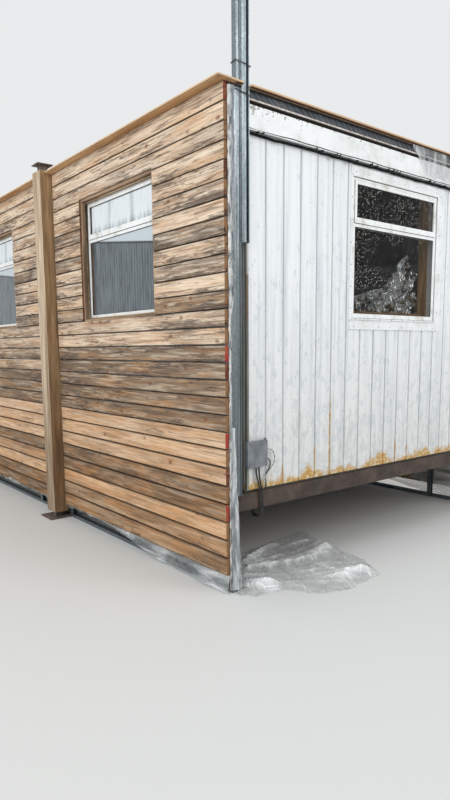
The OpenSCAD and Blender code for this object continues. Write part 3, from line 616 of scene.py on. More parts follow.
fascia_x, fascia_y, strip_x, strip_z = 4.229, 1.586, 4.209, 3.0095
black_rubber = stained("perished_black_rubber", 24,
                       ((0.4, "#08090a"), (0.62, "#151618"), (0.74, "#4a4b4c")), 0.9, 5, 0.65, (0.0015, 0.7),
                       shine=0.2)
strip_paths, crack_paths, drip_paths, lumps = [], [], [], []
chance = random.Random(11)
for end in (1, -1):
    places = steps(-fascia_y, fascia_y, 0.05)
    for paths, x, sway, z, wander, slow, ripple, quick, seed in (
            (strip_paths, strip_x, 0.003, strip_z, 0.010, 2.6, 0.004, 13, 2),
            (crack_paths, fascia_x + 0.001, 0, 3.034, 0.012, 1.6, 0.005, 7, 5)):
        paths.append([(end * (x + sway * noise.noise((y * 3.1, end, 0))), y,
                       z + wander * noise.noise((y * slow, end, seed))
                       + ripple * noise.noise((y * quick, end, seed + 1))) for y in places])
    drip_paths.append([(end * (fascia_x + 0.001), y, 3.0255) for y in places])
    for _ in range(30):
        y = chance.uniform(-fascia_y + 0.03, fascia_y - 0.03)
        lumps.append(((end * (fascia_x - 0.004), y, strip_z + chance.choice((-0.010, 0.012, 0.016))),
                      (chance.uniform(-0.4, 0.4), chance.uniform(-0.4, 0.4), 1)))
strip = beads("rubber_strips", strip_paths, black_rubber, "rubber_strip", 0.011, 0.024, 0.004, closed=False)
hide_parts("drip_strips")
beads("fascia_drips", drip_paths, trim_paint, "white_trim", 0.006, 0.008, 0.002, closed=False)
beads("old_mastic_lines", crack_paths, black_rubber, "rubber_strip", 0.005, 0.004, 0.001, closed=False)
fasteners("mastic_lumps", lumps, black_rubber, "rubber_strip", 0.012, 0.008)

# Wrapped roof insulation
# Boards of insulation on the old roof, wrapped in slate-grey sheet that was pulled
# tight by hand, so that it lies in slanting pleats along every edge.
wrap_x, wrap_y, wrap_top, wrap_foot = 4.224, 1.584, 3.2525, 3.2065
tuck_x, tuck_y, tuck_z = 4.199, 1.58, 3.174
shape = bmesh.new()
corners = ((-wrap_x, -wrap_y), (wrap_x, -wrap_y), (wrap_x, wrap_y), (-wrap_x, wrap_y))
rings = [[] for _ in range(7)]
for (ax, ay), (bx, by) in zip(corners, corners[1:] + corners[:1]):
    run = math.hypot(bx - ax, by - ay)
    out_x, out_y = (by - ay) / run, -(bx - ax) / run
    for s in steps(0, run, 0.02)[:-1]:
        x, y = ax + (bx - ax) * s / run, ay + (by - ay) * s / run
        for k, ring in enumerate(rings[:5]):
            fall = k / 4
            wave = (s * 7.5 + fall * 0.8 + 0.5 * noise.noise((s * 1.7, out_x, out_y))) % 1
            pleat = 0.0045 * (wave if wave < 0.82 else (1 - wave) * 4.5)
            pleat *= math.sin(math.pi * (0.15 + 0.7 * fall))
            ring.append(shape.verts.new((x + out_x * pleat, y + out_y * pleat,
                                         wrap_top + (wrap_foot - wrap_top) * fall)))
        for ring, z in ((rings[5], wrap_foot), (rings[6], tuck_z)):
            ring.append(shape.verts.new((x * tuck_x / wrap_x, y * tuck_y / wrap_y, z)))
count = len(rings[0])
for upper, lower in zip(rings, rings[1:]):
    for j in range(count):
        shape.faces.new((lower[j], lower[(j + 1) % count], upper[(j + 1) % count], upper[j]))
shape.faces.new(rings[0])
shape.faces.new(rings[-1][::-1])
wrap = closed_mesh("wrapped_insulation", shape)
slate_wrap, place = new_material("slate_breather_sheet")
weave = cloud(place, 160)
dust = cloud(place, 3.5, 5, 0.6)
colour = ramp(dust, (0.32, "#23282f"), (0.5, "#393e46"), (0.68, "#5c5a5e"))
# Thin pale slanting lines, painted as highlights on the crests of pleats
ridge = (dust * 0.09 + (place.z * 1.3 + (place.x + place.y))).pingpong(0.03)
ridge = remap(ridge, 0, 0.009, 0.42, 0)
colour = mix(ridge, colour, "#8f969b")
colour = mix(remap(cloud(place, 9, 3), 0.58, 0.68, 0, 0.6), colour, "#3f5e63")
surface(slate_wrap, colour, 0.6, weave, 0.0004, 0.5)
wrap = new_piece("wrapped_insulation", wrap, slate_wrap)
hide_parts("roof_insulation")

# Roof deck
# Planed boards on the insulation, orange at their cut edges, and a pale pink lath on
# each fascia. Strips of mineral felt lie across the deck, each lapped on the next.
deck_wood, place = new_material("planed_deck_board")
wood, height = wood_figure(place, "#c9a077", "#94704f", "#6d5138", 0.3)
pale, _ = wood_figure(place, "#e9e2dd", "#b9aaa0", "#8d8580", 0.3)
colour = mix(place.z < 3.21, wood, pale)
# Painted shade: dark on the lath's lower edge and the packing below it, and in a thin band on the deck's edge
# under the coping
colour = mix((place.z < 3.1965).maximum(abs(place.z - 3.2555) < 0.003), colour, "#2d2622")
surface(deck_wood, colour, 0.7, height, 0.0008, 0.6)
paint_node(deck_wood, "roof_deck")
boards_top, coping_top, felt_end, felt_w, felt_lap = 3.263, 3.281, 4.10, 1, 0.075
shape = bmesh.new()
at = -felt_end
while at < felt_end:
    end = min(at + felt_w, felt_end)
    grid = []
    for x, rise in ((at, 0.0042), (at + 0.006, 0.0046), (at + felt_lap + 0.01, 0.0044),
                    (end - felt_lap, 0.0022), (end, 0.0018)):
        grid.append([shape.verts.new((x, y, boards_top + rise + 0.001 * noise.noise((x * 2, y * 3, 0))))
                     for y in steps(-1.70, 1.70, 0.2)])
    for a, b in zip(grid, grid[1:]):
        for j in range(len(a) - 1):
            shape.faces.new((a[j], b[j], b[j + 1], a[j + 1]))
    at += felt_w - felt_lap
bmesh.ops.solidify(shape, geom=shape.faces[:], thickness=0.0018)
felt = closed_mesh("felt_strips", shape)
mineral_felt, place = new_material("green_mineral_felt")
grit = cloud(place, 260)
colour = ramp(cloud(place, 1.4, 5, 0.6), (0.38, "#565c55"), (0.55, "#6c7269"), (0.68, "#83857a"))
colour = mix(0.5, colour, ramp(grit, (0.4, "#b5b8b2"), (0.62, "#ffffff")), "MULTIPLY")
surface(mineral_felt, colour, 0.92, grit, 0.001, 0.8)
new_piece("felt_strips", felt, mineral_felt)

# Coping boards
# Planed softwood boards laid flat round the roof's edge, the end boards cut in between
# the long ones and all of them screwed down. Orange outside, with pale cut edges.
coping_wood, place = new_material("planed_coping_board")
cross = (abs(place.x) > 4.11) * (abs(place.y) < 1.71)
crosswise = add(place, "ShaderNodeCombineXYZ", {"X": place.y, "Y": place.x, "Z": place.z})
along = mix(cross, place, crosswise, kind="VECTOR")
wood, height = wood_figure(along, "#dcb485", "#b98857", "#84684f", 0.35)
colour = mix(remap(place.z, 3.27, 3.279, 0, 0.6), wood, "#ead6b6")
# Painted shade: a dark line low on the boards' edges, and the undersides of the end boards
coping_shade = remap(abs(place.z - 3.2665), 0.002, 0.003, 0.85, 0).maximum((place.z < 3.2645) * cross)
colour = mix(coping_shade, colour, "#3a2415")
surface(coping_wood, colour, 0.68, height, 0.0008, 0.6)
paint_node(coping_wood, "coping_boards")
zinc_head = stained("zinc_plated_head", 240, ((0.35, "#6a6258"), (0.6, "#9c9a94")), 0.5, metal=0.8)
coping_spots = []
for x in steps(-4.15, 4.15, 0.6):
    if abs(abs(x) - 1.58) > 0.13:
        coping_spots += [((x, side * y, coping_top), (0, 0, 1)) for side in (1, -1) for y in (1.735, 1.822)]
for y in steps(-1.35, 1.60, 0.59):
    coping_spots += [((end * x, y, coping_top), (0, 0, 1)) for end in (1, -1) for x in (4.145, 4.235)]
fasteners("coping_screws", coping_spots, zinc_head, "galvanised", 0.0045, 0.001)

# Stud frames
# Lipped studs and plain tracks rolled from galvanised sheet. The zinc shows faint
# spangles the size of a fingernail and dull grey handling marks down its length.

def zinc(place):
    """Colour and roughness of galvanised sheet, with spangles 14 mm across. It is bright
    high up and darker towards the bottom, from 3.2 m down to 1.9 m."""
    grey = voronoi(place, 70)["Color"].red
    marks = cloud(place, (30, 30, 2.5), 5, 0.6)
    tone = grey * 0.18 + marks
    colour = ramp(tone, (0.38, "#7f8a90"), (0.58, "#a0abb0"), (0.75, "#bfc8cc"))
    colour = mix(remap(place.z, 1.9, 3.2, 0.6, 0), colour, "#4a5053")
    return colour, remap(tone, 0, 1, 0.5, 0.34), marks


galvanised, place = new_material("galvanised_sheet")
colour, rough, marks = zinc(place)
colour = mix(0.2, colour, "#565e63")
surface(galvanised, colour, rough, marks, 0.0005, 0.4, metal=0.75)
paint_node(galvanised, "front_stud_frame", "back_stud_frame")

# Membrane behind the boards
# Clear polythene sheet stapled over the studs before the boards went on. It is creased
# and dusty, hangs below the boards to the ground, and is bunched up at the corner.


def new_film(name, thin, thick, folds_per_m, relief, crease=0.35, ridges=False):
    """Clear creased sheet, from its least to its most cover. Grey to white over the folds, partly
    dust and partly painted shade and highlights of the creases; where ridges are asked for,
    their tops are painted white as highlights and the hollows between them stay clear."""
    made, place = new_material(name)
    folds = cloud(place, folds_per_m, 5, 0.62, 0.8)
    lines = remap(voronoi(place, 11, "DISTANCE_TO_EDGE")["Distance"], 0, 0.05, crease, 0)
    # Partly dust, partly painted shade and highlights of the folds
    colour = ramp(folds, (0.36, "#858a8c"), (0.5, "#c2c6c6"), (0.64, "#f6f8f8"))
    cover = remap(folds, 0.35, 0.68, thin, thick) + lines
    if ridges:
        high = remap(place.z, 0.016, 0.055)
        cover = high * 0.38 + cover
        # Painted highlights on the ridge tops
        colour = mix(high, colour, "#fbfcfc")
    surface(made, colour, 0.13, folds, relief, 0.8, cover=cover.minimum(0.97))
    return made


polythene = new_film("dusty_clear_polythene_painted_shade", 0.35, 0.75, (2, 2, 13), 0.005, 0.06)
half_l, half_w = 4.230, 1.795
bays = ((-4.228, -1.684), (-1.476, 1.476), (1.684, 4.228))
window_pitch = 2.81
front_windows, back_windows = (-window_pitch, 0, window_pitch), (-window_pitch, window_pitch)


def holes_at(xs, half, foot, head):
    """Upright holes through a side, each (left, right, foot, head)."""
    return [(x - half, x + half, foot, head) for x in xs]


front_holes = holes_at(front_windows, 0.593, 1.887, 2.943)
back_holes = holes_at(back_windows, 0.593, 1.887, 2.943) + holes_at((0,), 0.495, 0.651, 2.795)


def membrane_sheet(name, side, holes):
    """Creased sheet over one side's studs, one length for each bay, cut out at the holes."""
    whole = bmesh.new()
    for x0, x1 in bays:
        inside = [h for h in holes if x0 < h[0] and h[1] < x1]
        across = steps(x0, x1, 0.13, *(c for h in inside for c in h[:2]))
        upward = steps(0.006, 3.245, 0.13, 0.13, *(c for h in inside for c in h[2:]))

        def place(x, z):
            fold = 0.005 * noise.noise((x * 3, z * 2, side))
            fold += 0.003 * noise.noise((x * 11, z * 7, side))
            free = max(0, 1 - z / 0.14)
            hem = free * (0.035 + 0.03 * noise.noise((x * 2.2, 0, 3 * side)))
            foot = 0.11 * min(1, max(0, (3.4 - abs(x)) / 0.8))
            foot += 0.03 * abs(noise.noise((x * 5, side, 4)))
            z += foot * max(0, 1 - z / 0.6)
            return x, side * (half_w - 0.0335 - fold + hem), z

        def keep(x, z):
            return not any(h[0] < x < h[1] and h[2] < z < h[3] for h in inside)

        part = cloth_grid(name, across, upward, place, keep)
        whole.from_mesh(part)
        bpy.data.meshes.remove(part)
    if side > 0:
        bmesh.ops.reverse_faces(whole, faces=whole.faces[:])
    return closed_mesh(name, whole)


for side, name, holes in ((-1, "front_membrane", front_holes), (1, "back_membrane", back_holes)):
    cloth = membrane_sheet(name + "_sheet", side, holes)
    area = sum(f.area for f in cloth.polygons)
    cloth = new_piece(name + "_sheet", cloth, polythene, 180)
    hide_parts(name)


def fold_place(a, z):
    """The bunched edge of the sheet beside the corner stud: a thick roll above, gathered
    into two knots at 1.9 m, and a narrow pleat below them."""
    upper = min(1, max(0, (z - 1.86) / 0.05))
    knot = max(0, 1 - abs(z - 1.935) / 0.02) + max(0, 1 - abs(z - 1.885) / 0.02)
    width = (0.022 + 0.031 * upper) * (1 + 0.12 * noise.noise((0, z * 4.2, 1))
                                       + 0.10 * noise.noise((0, z * 15, 2)) - 0.15 * knot)
    ruck = 0.55 * noise.noise((a * 3, z * 7, 5)) + 0.45 * noise.noise((a * 6, z * 19, 6))
    bulge = math.sin(math.pi * min(1, a)) * (0.005 + 0.007 * upper + 0.007 * knot)
    ragged = 0.007 * noise.noise((0, z * 24, 4)) * (1 - a)
    return half_l + 0.004 + bulge + 0.013 * ruck * min(1, 4 * a), -half_w + 0.028 + ragged + width * a, z


# The roll is painted grey in its folds and white on its crests, as shade and highlights of
# the crumples, pinkish along its torn edge, and painted darker towards the stud as shade
shaded_roll_film, place = new_material("bunched_polythene_painted_shade")
ruck = cloud(place, (34, 34, 8), 5, 0.6, 1.2)
colour = ramp(ruck, (0.4, "#585c60"), (0.48, "#a0a3a5"), (0.56, "#e3e2df"), (0.66, "#fdfdfc"))
colour = mix(remap(place.y, -1.764, -1.756, 0.35, 0), colour, "#d6c3b2")
# Painted shade on the side of the roll towards the stud
colour = mix(remap(ruck * 0.05 + place.y, -1.732, -1.712, 0, 0.7), colour, "#6d7479")
surface(shaded_roll_film, colour, 0.2, ruck, 0.014, 0.9, cover=0.92)
fold = cloth_grid("corner_fold", steps(0, 1, 0.12), steps(0.02, 3.245, 0.015), fold_place)
area = sum(f.area for f in fold.polygons)
fold = new_piece("corner_fold", fold, shaded_roll_film, 40)

# Cladding boards
# Reclaimed softwood boards nailed over the studs, one length to a bay. They are golden
# tan with dark feathered smears and bleached streaks, and some ends keep red paint.
row_count = 27
row_foot = [0.132 + min(i, 7) * 0.123 + max(i - 7, 0) * 0.1135 for i in range(row_count + 1)]
board_t, board_gap, board_h = 0.028, 0.008, 0.1055
board_bays = ((-4.230, -1.682), (-1.478, 1.478), (1.682, 4.230))
grey_rows, dull_rows, orange_rows = {0, 4, 8, 10, 12, 19}, {1, 3, 9, 11, 15, 17, 21}, {2, 6, 7, 16, 25, 26}
red_ends = {3: 0.9, 5: 0.5, 7: 1, 11: 0.5, 12: 1, 22: 0.4, 26: 0.6}

board_tree, given = new_tree("sawn_boards", Thickness=0.028, Height=0.1055, Edge=0.0025, Bow=0.0012)
line = add(board_tree, "GeometryNodeMeshToCurve", {"Mesh": given["Geometry"]})
here = add(board_tree, "GeometryNodeInputPosition")
line = add(board_tree, "GeometryNodeStoreNamedAttribute",
           {"Geometry": line, "Name": "middle", "Value": here}, data_type="FLOAT_VECTOR")
board = swept(line, given["Thickness"], given["Height"], given["Edge"], 1)
middle = add(board_tree, "GeometryNodeInputNamedAttribute", {"Name": "middle"}, data_type="FLOAT_VECTOR")
local_y = here.y - middle.y
local_z = here.z - middle.z
named = {n: add(board_tree, "GeometryNodeInputNamedAttribute", {"Name": n}, data_type="FLOAT")
         for n in ("lot", "taller", "rise", "drop")}
grain = add(board_tree, "ShaderNodeCombineXYZ", {"X": named["lot"] * 13.7 + here.x,
                                                 "Y": named["lot"] * 5.3 + local_z, "Z": local_y})
board = add(board_tree, "GeometryNodeStoreNamedAttribute",
            {"Geometry": board, "Name": "grain", "Value": grain}, data_type="FLOAT_VECTOR")
half = named["taller"] * 0.5
move = mix(local_z > 0, named["rise"] - half, half - named["drop"], kind="FLOAT")
wave = (cloud(grain, 2.6, 1) - 0.5) * given["Bow"] * 4
shift = add(board_tree, "ShaderNodeCombineXYZ", {"Y": wave, "Z": move})
board = add(board_tree, "GeometryNodeSetPosition", {"Geometry": board, "Offset": shift})
close_tree(board_tree, given, board)

chance = random.Random(5)


def board_lines(name, side, holes):
    """Each board's middle line, split or notched where a hole (x0, x1, z0, z1) meets it."""
    paths, values = [], {"lot": [], "taller": [], "rise": [], "drop": [], "tone": [], "paint": []}
    for i in range(row_count):
        z0 = row_foot[i] + (board_gap / 2 if i else 0)
        z1 = row_foot[i + 1] - (board_gap / 2 if i < row_count - 1 else 0)
        for x0, x1 in board_bays:
            spans, notches = [[x0, x1]], []
            for h0, h1, low, high in holes:
                shared = min(z1, high) - max(z0, low)
                if not x0 < h0 < x1 or shared < 0.008:
                    continue
                if shared > 0.7 * (z1 - z0):
                    spans = [s for a, b in spans for s in (([a, h0], [h1, b]) if a < h0 < b else ([a, b],))]
                else:
                    notches.append((h0, h1, high - z0 if high < z1 else 0, z1 - low if high >= z1 else 0))
            for a, b in spans:
                a, b = a + chance.uniform(0, 0.002), b - chance.uniform(0, 0.003)
                cuts = [c + d for n in notches for c in n[:2] for d in (-0.0005, 0.0005)]
                places = steps(a, b, 0.32, *cuts)
                middle_y = side * (half_w - board_t / 2 + chance.uniform(-0.0012, 0.0008))
                paths.append([(x, middle_y, (z0 + z1) / 2) for x in places])
                rises, drops = [0] * len(places), [0] * len(places)
                for h0, h1, rise, drop in notches:
                    for k, x in enumerate(places):
                        if h0 < x < h1:
                            rises[k], drops[k] = rise, drop
                tone = chance.gauss(0.6, 0.14) - 0.32 * (i in dull_rows) + 0.28 * (i in orange_rows)
                tone += 0.08 * (i > 16) - 0.6 * (i in grey_rows) - 0.12 * (8 < i < 16)
                own = red_ends.get(i, 0) if side < 0 and x1 > 4 and b > 3.5 else 0
                values["lot"].append(chance.uniform(0, 9))
                values["taller"].append(z1 - z0 - board_h - chance.uniform(0, 0.0018))
                values["rise"].append(rises)
                values["drop"].append(drops)
                values["tone"].append(min(1, max(0, tone)))
                values["paint"].append(own or (0.5 if chance.random() < 0.12 and x1 < 4.2 or b < 3.5 and
                                               chance.random() < 0.2 else 0))
    return line_mesh(name, paths, **values)


cladding, place = new_material("reclaimed_weathered_softwood")
grain = add(place, "ShaderNodeAttribute", attribute_name="grain")["Vector"]
tone = add(place, "ShaderNodeAttribute", attribute_name="tone")["Fac"]
paint = add(place, "ShaderNodeAttribute", attribute_name="paint")["Fac"]
middle = add(place, "ShaderNodeAttribute", attribute_name="middle")["Vector"]
fresh, height = wood_figure(grain, "#f6e3cc", "#d2b395", "#b8a28f", 0.3)
aged, _ = wood_figure(grain, "#dccdbd", "#a08e7f", "#857a71", 0.4)
drift = cloud(grain, (0.8, 2.5, 0), 3, 0.6)
colour = mix(remap(drift * 0.9 + tone, 0.62, 1.25), aged, fresh)
# The dullest boards are dark brown all over
colour = mix(remap(drift * 0.35 + tone, 0.62, 0.18, 0, 0.95), colour, "#b0aaa2", "MULTIPLY")
# Golden patches, a few hands long
gold = cloud(grain, (1.7, 12, 12), 4, 0.6, 0.6)
colour = mix(remap(gold, 0.47, 0.64, 0, 0.34), colour, "#dfae79")
# Sandier near the ground, pinkish grey above
colour = mix(remap(place.z, 0.3, 2.2, 0.75, 0.1), colour, "#efc896", "MULTIPLY")
# Slanting teeth marks of the saw, 6 mm apart
teeth = add(place, "ShaderNodeTexWave", {"Vector": grain, "Scale": 50, "Distortion": 2.5,
                                         "Detail Scale": 0.6})
colour = mix(teeth * 0.06, colour, "#5c4a3c")
# Bleached streaks 0.3 m and more long
pale = remap(cloud(grain, (2.6, 40, 40), 5, 0.62, 0.4), 0.5, 0.6, 0, 0.46)
colour = mix(pale * remap(place.z, 0.8, 2, 0.35, 1), colour, "#f6e6cf")
# Dark weather smears with soft feathered ends, 10 to 40 mm high and ten times as long,
# most of them along the lower edge and few in the rows near the ground
smear = cloud(grain, (4.6, 31, 31), 6, 0.72, 1)
smear = cloud(grain, (6, 130, 130), 3, 0.5, 0.6) * 0.4 + smear
patch = cloud(grain, (1.3, 6, 6))
smear = tone * -0.1 + (patch * 0.6 + smear)
local_z = place.z - middle.z
smear = smear + remap(local_z, -0.055, 0, 0.08, 0) + remap(place.z, 1, 2.1, -0.1, 0)
smear = remap(smear, 1.02, 1.085, 0, 0.74)
colour = mix(smear, colour, "#51463f")
# Thin dark lines along the grain in some stretches
checks = patch * 0.35 + cloud(grain, (3, 62, 62), 4, 0.62, 0.7)
checks = remap(checks, 0.7, 0.76, 0, 0.62) * remap(place.z, 0.8, 2, 0.45, 1)
colour = mix(checks, colour, "#63544a")
# Painted shade along each board's upper and lower edges, beside the joints
colour = mix(remap(abs(local_z), 0.0495, 0.0535, 0, 0.6), colour, "#3d2e22")
# Small dark knots, 10 to 25 mm across, in half of the cells
knot = voronoi(grain, (6, 10, 10))
pick = knot["Color"].red > 0.5
colour = mix(remap(knot["Distance"], 0.07, 0.19, 0.8, 0) * pick, colour, "#7a5032")
# Cut ends: brown or pinkish end grain, or patches of the red paint of the boards' earlier use
cut = abs(add(place, "ShaderNodeNewGeometry")["Normal"].x) > 0.8
colour = mix(cut, colour, ramp(smear, (0, "#8d6a4a"), (0.7, "#44312a")))
red = ramp(paint, (0.4, "#4a2422"), (0.6, "#7a2727"), (1, "#b52f2d"))
coat = (paint > 0.2) * cut * remap(cloud(place, 45, 4, 0.65), 0.4, 0.5, 0.15, 0.85)
colour = mix(coat, colour, red)
surface(cladding, colour, 0.85, height, 0.0022, 0.8, shine=0.25)
front_board_holes = holes_at(front_windows, 0.590, 1.890, 2.940)
back_board_holes = holes_at(back_windows, 0.590, 1.890, 2.940) + holes_at((0,), 0.489, 0.657, 2.789)
nail_spots = []
for side, word, holes in ((-1, "front", front_board_holes), (1, "back", back_board_holes)):
    boards = grow(word + "_cladding", board_tree, board_lines(word + "_lines", side, holes), cladding,
                  "cladding_timber", Thickness=board_t, Height=board_h, Edge=0.0025, Bow=0.0012)
    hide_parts(*(f"{word}_boards_{part}" for part in ("right", "middle", "left")))
    for x0, x1 in board_bays:
        for x in [x0 + 0.021 + 0.6 * k for k in range(5)] + [x1 - 0.021]:
            for i in range(row_count):
                z = (row_foot[i] + row_foot[i + 1]) / 2
                if x > x1 or any(a - 0.02 < x < b + 0.02 and c - 0.06 < z < d + 0.06 for a, b, c, d in holes):
                    continue
                for dz in (-0.03, 0.03):
                    spot = [x + chance.uniform(-0.008, 0.008), side * (half_w - 0.0004), z + dz]
                    spot[2] += chance.uniform(-0.008, 0.008)
                    nail_spots.append((spot, (0, side, 0)))
rusty_nail = stained("rusty_nail_head", 300, ((0.35, "#2f2621"), (0.6, "#5c4436")), 0.7, metal=0.5)
fasteners("board_nails", nail_spots, rusty_nail, "galvanised", 0.003, 0.0009)

# Casings round the legs
# Three boards nailed into a box that hides each leg, from the ground to the cap. Bleached
# grey in front, orange-brown at the sides where the rain doesn't reach.
casing_wood, place = new_material("bleached_casing_board")
along = turned(place, grain_z)
front, height = wood_figure(along, "#e2ceb4", "#b0977b", "#8d8074", 0.4)
flank, _ = wood_figure(along, "#b4946f", "#83684d", "#6b594a", 0.35)
colour = mix(abs(add(place, "ShaderNodeNewGeometry")["Normal"].x), front, flank)
# Splashed grey-brown towards the foot
colour = mix(remap(place.z, 2.2, 0.5, 0, 0.55), colour, "#9a8f82", "MULTIPLY")
surface(casing_wood, colour, 0.85, height, 0.0016, 0.8, shine=0.25)
paint_node(casing_wood, "leg_casings")

# Side windows
# White painted frames with a top light, set deep in boxes of dusty planed softwood.
# Blinds hang behind them.
lining_wood, place = new_material("planed_lining_board")
upright = add(place, "ShaderNodeCombineXYZ", {"X": place.z, "Y": place.y, "Z": place.x})
along = mix(abs(place.z - 2.415) < 0.5, place, upright, kind="VECTOR")
wood, height = wood_figure(along, "#b39476", "#7b6350", "#5a4a3e", 0.45)
surface(lining_wood, wood, 0.65, height, 0.0008, 0.6)
paint_node(lining_wood, "front_window_linings", "back_window_linings")

frame_paint = stained("white_painted_frame", 9, ((0.34, "#cfccc2"), (0.46, "#eaebe9"), (0.6, "#f4f5f5")),
                      0.35, 6, 0.65, (0.0006, 0.4))
paint_node(frame_paint, "front_window_frames", "back_window_frames", "end_window_frames", "door_frame")

# Behind the top light hangs a pale blind, short of the left jamb and with two soft seams.
# The lower pane shows a grey blind in stripes, under a cord that slants to the right.
side_glass, place = new_material("dusty_glass_over_blinds")
upper = place.z > 2.585
across = (place.x + 1.5 * window_pitch) % window_pitch - window_pitch / 2
runs = cloud(place, (26, 26, 5), 4, 0.6)
seam = remap(abs(abs(across) - 0.18), 0, 0.045, 0.16, 0)
stain = remap(place.z, 2.64, 2.7, 1, 0)
film = remap(runs, 0, 1, 0.34, 0.66) - seam - stain * remap(runs, 0.66, 0.42, 0, 0.22)
film = ramp(film, (0.12, "#7f857b"), (0.34, "#bcc7cc"), (0.5, "#e6ecef"))
film = mix(across < -0.494, film, "#2b211a")
stripe = across.pingpong(0.02) * 12 + runs
blind = ramp(stripe, (0.4, "#3f474c"), (0.6, "#5f686e"), (0.82, "#727b80"))
cord_z = place.z - (across * -0.128 + 2.5075)
blind = mix(remap(cord_z, 0.004, 0.016, 0, 0.95), blind, "#d3dde3")
blind = mix(remap(abs(cord_z), 0.005, 0.009, 0.85, 0), blind, "#24282b")
blind = mix((across < -0.49) * 0.8, blind, "#5a4534")
colour = mix(upper, blind, film)
surface(side_glass, colour, 0.08, cover=upper * 0.1 + 0.86)
paint_node(side_glass, "side_glazing")

gasket_rubber = stained("black_glazing_gasket", 40, ((0.35, "#17181a"), (0.65, "#3a3c3e")), 0.6, 3)
seals, joints, stops = [], [], []
frame_foot, frame_head, half_frame = 1.914, 2.916, 0.566
split = frame_foot + 0.655 * (frame_head - frame_foot)
for side, xs in ((-1, front_windows), (1, back_windows)):
    for x in xs:
        for rings, deep, half, low, high in (
                (seals, 0.0695, 0.526, frame_foot + 0.040, split - 0.002),
                (seals, 0.0695, 0.514, split + 0.070, frame_head - 0.052),
                (joints, 0.0650, 0.5395, split + 0.0265, frame_head - 0.0265),
                (joints, 0.0650, half_frame - 0.002, frame_foot + 0.002, frame_head - 0.002),
                (stops, 0.0500, half_frame - 0.008, frame_foot + 0.008, frame_head - 0.008)):
            y = side * (half_w - deep)
            rings.append([(x - half, y, low), (x + half, y, low), (x + half, y, high), (x - half, y, high)])
beads("side_window_seals", seals, gasket_rubber, "rubber_strip", 0.006, 0.005, 0.0015)
beads("side_window_joints", joints, gasket_rubber, "rubber_strip", 0.0035, 0.003, 0.001)
stop_wood = new_timber("pale_stop_bead", grain_x, "#cdb596", "#a08a6c", "#7f705f", 0.2, 0.7, 0.0006)
beads("side_window_stops", stops, stop_wood, "lining_timber", 0.014, 0.026, 0.002)

# End windows
# The same frame close to the skin, with screwed white trims round it and a plain panel
# below. Clear glass with dried splashes on it, tinted near black at a third cover as
# painted shade of the dim room behind.
end_glass, place = new_material("splashed_clear_glass")
drops = voronoi(place, 58)
width = drops["Color"].red * 0.42 - 0.12
spots = remap(width - drops["Distance"], 0, 0.05)
where = cloud(place, 3.3, 3, 0.6) + remap(place.y, -0.5, 0.45, 0.15, -0.12)
where = remap(where + remap(place.z, 2, 2.8, -0.18, 0.1), 0.4, 0.56)
marks = spots.maximum(remap(cloud(place, 75, 3), 0.64, 0.7, 0, 0.8)) * where
# Painted shade: a near-black tint between the splashes
colour = mix(marks, "#12110f", "#e4e3dc")
surface(end_glass, colour, 0.05, shine=0.22, cover=remap(marks, 0, 1, 0.32, 0.85))
paint_node(end_glass, "end_glazing")

seals, joints, trim_spots = [], [], []
glass_x, frame_x, half_frame, frame_foot, frame_head = 4.1865, 4.1915, 0.558, 1.874, 2.920
split = frame_foot + 0.655 * (frame_head - frame_foot)
for end in (1, -1):
    for rings, x, half, low, high in (
            (seals, glass_x, 0.518, frame_foot + 0.040, split - 0.002),
            (seals, glass_x, 0.506, split + 0.070, frame_head - 0.052),
            (joints, frame_x, 0.5315, split + 0.0265, frame_head - 0.0265),
            (joints, frame_x, half_frame - 0.0025, frame_foot + 0.0025, frame_head - 0.0025)):
        near, far = end_window_y - half, end_window_y + half
        rings.append([(end * x, near, low), (end * x, far, low), (end * x, far, high), (end * x, near, high)])
    trim_spots += [(end * 4.200, y, z) for z in steps(1.95, 2.93, 0.17) for y in (0.6285, -0.541)]
    trim_spots += [(end * x, y, z) for y in steps(-0.50, 0.56, 0.175)
                   for x, z in ((4.203, 2.953), (4.205, 1.812), (4.219, 1.869))]
beads("end_window_seals", seals, gasket_rubber, "rubber_strip", 0.006, 0.006, 0.0015)
beads("end_window_joints", joints, gasket_rubber, "rubber_strip", 0.005, 0.003, 0.001)
fasteners("trim_screws", [((x, y, z), (math.copysign(1, x), 0, 0)) for x, y, z in trim_spots], rusty_nail,
          "galvanised", 0.0042, 0.0016)

# Door
# A flush steel-faced door in the back side, painted pale grey, with a lever handle and
# three plain hinges.
door_paint = stained("pale_grey_door_paint", 7, ((0.34, "#8f938f"), (0.46, "#b3b8b4"), (0.64, "#c5c9c5")),
                     0.45, 6, 0.66, (0.0006, 0.4))
paint_node(door_paint, "door_leaf")
hinges = [((0.4175, 1.690, z), (0.4325, 1.704, z + 0.1)) for z in (0.9, 1.66, 2.45)]
hinges = rounded_boxes("door_hinges", hinges, 0.003)
new_piece("door_hinges", hinges, zinc_head, 40)

# Corner studs and battens
# Two ribbed studs tied face to edge at the front right corner run up past the roof.
# Timber battens cover the cut edges of the end skins.
ribbed_zinc, place = new_material("ribbed_galvanised_stud")
colour, rough, _ = zinc(place)
# Rolled grooves every 11 mm down the studs' faces, with painted shade along each groove
roll = remap((place.y + 1.693).pingpong(0.0055), 0.0012, 0.003)
colour = mix(remap(roll, 0, 1, 0.62, 0), colour, "#4d575d")
# Painted shade in the deep groove beside the outer lip
colour = mix(remap(abs(place.y + 1.667), 0.0035, 0.0055, 0.85, 0), colour, "#363d42")
surface(ribbed_zinc, colour, rough, roll, 0.0025, 0.8, metal=0.75)
paint_node(ribbed_zinc, "corner_stud", "corner_mast")
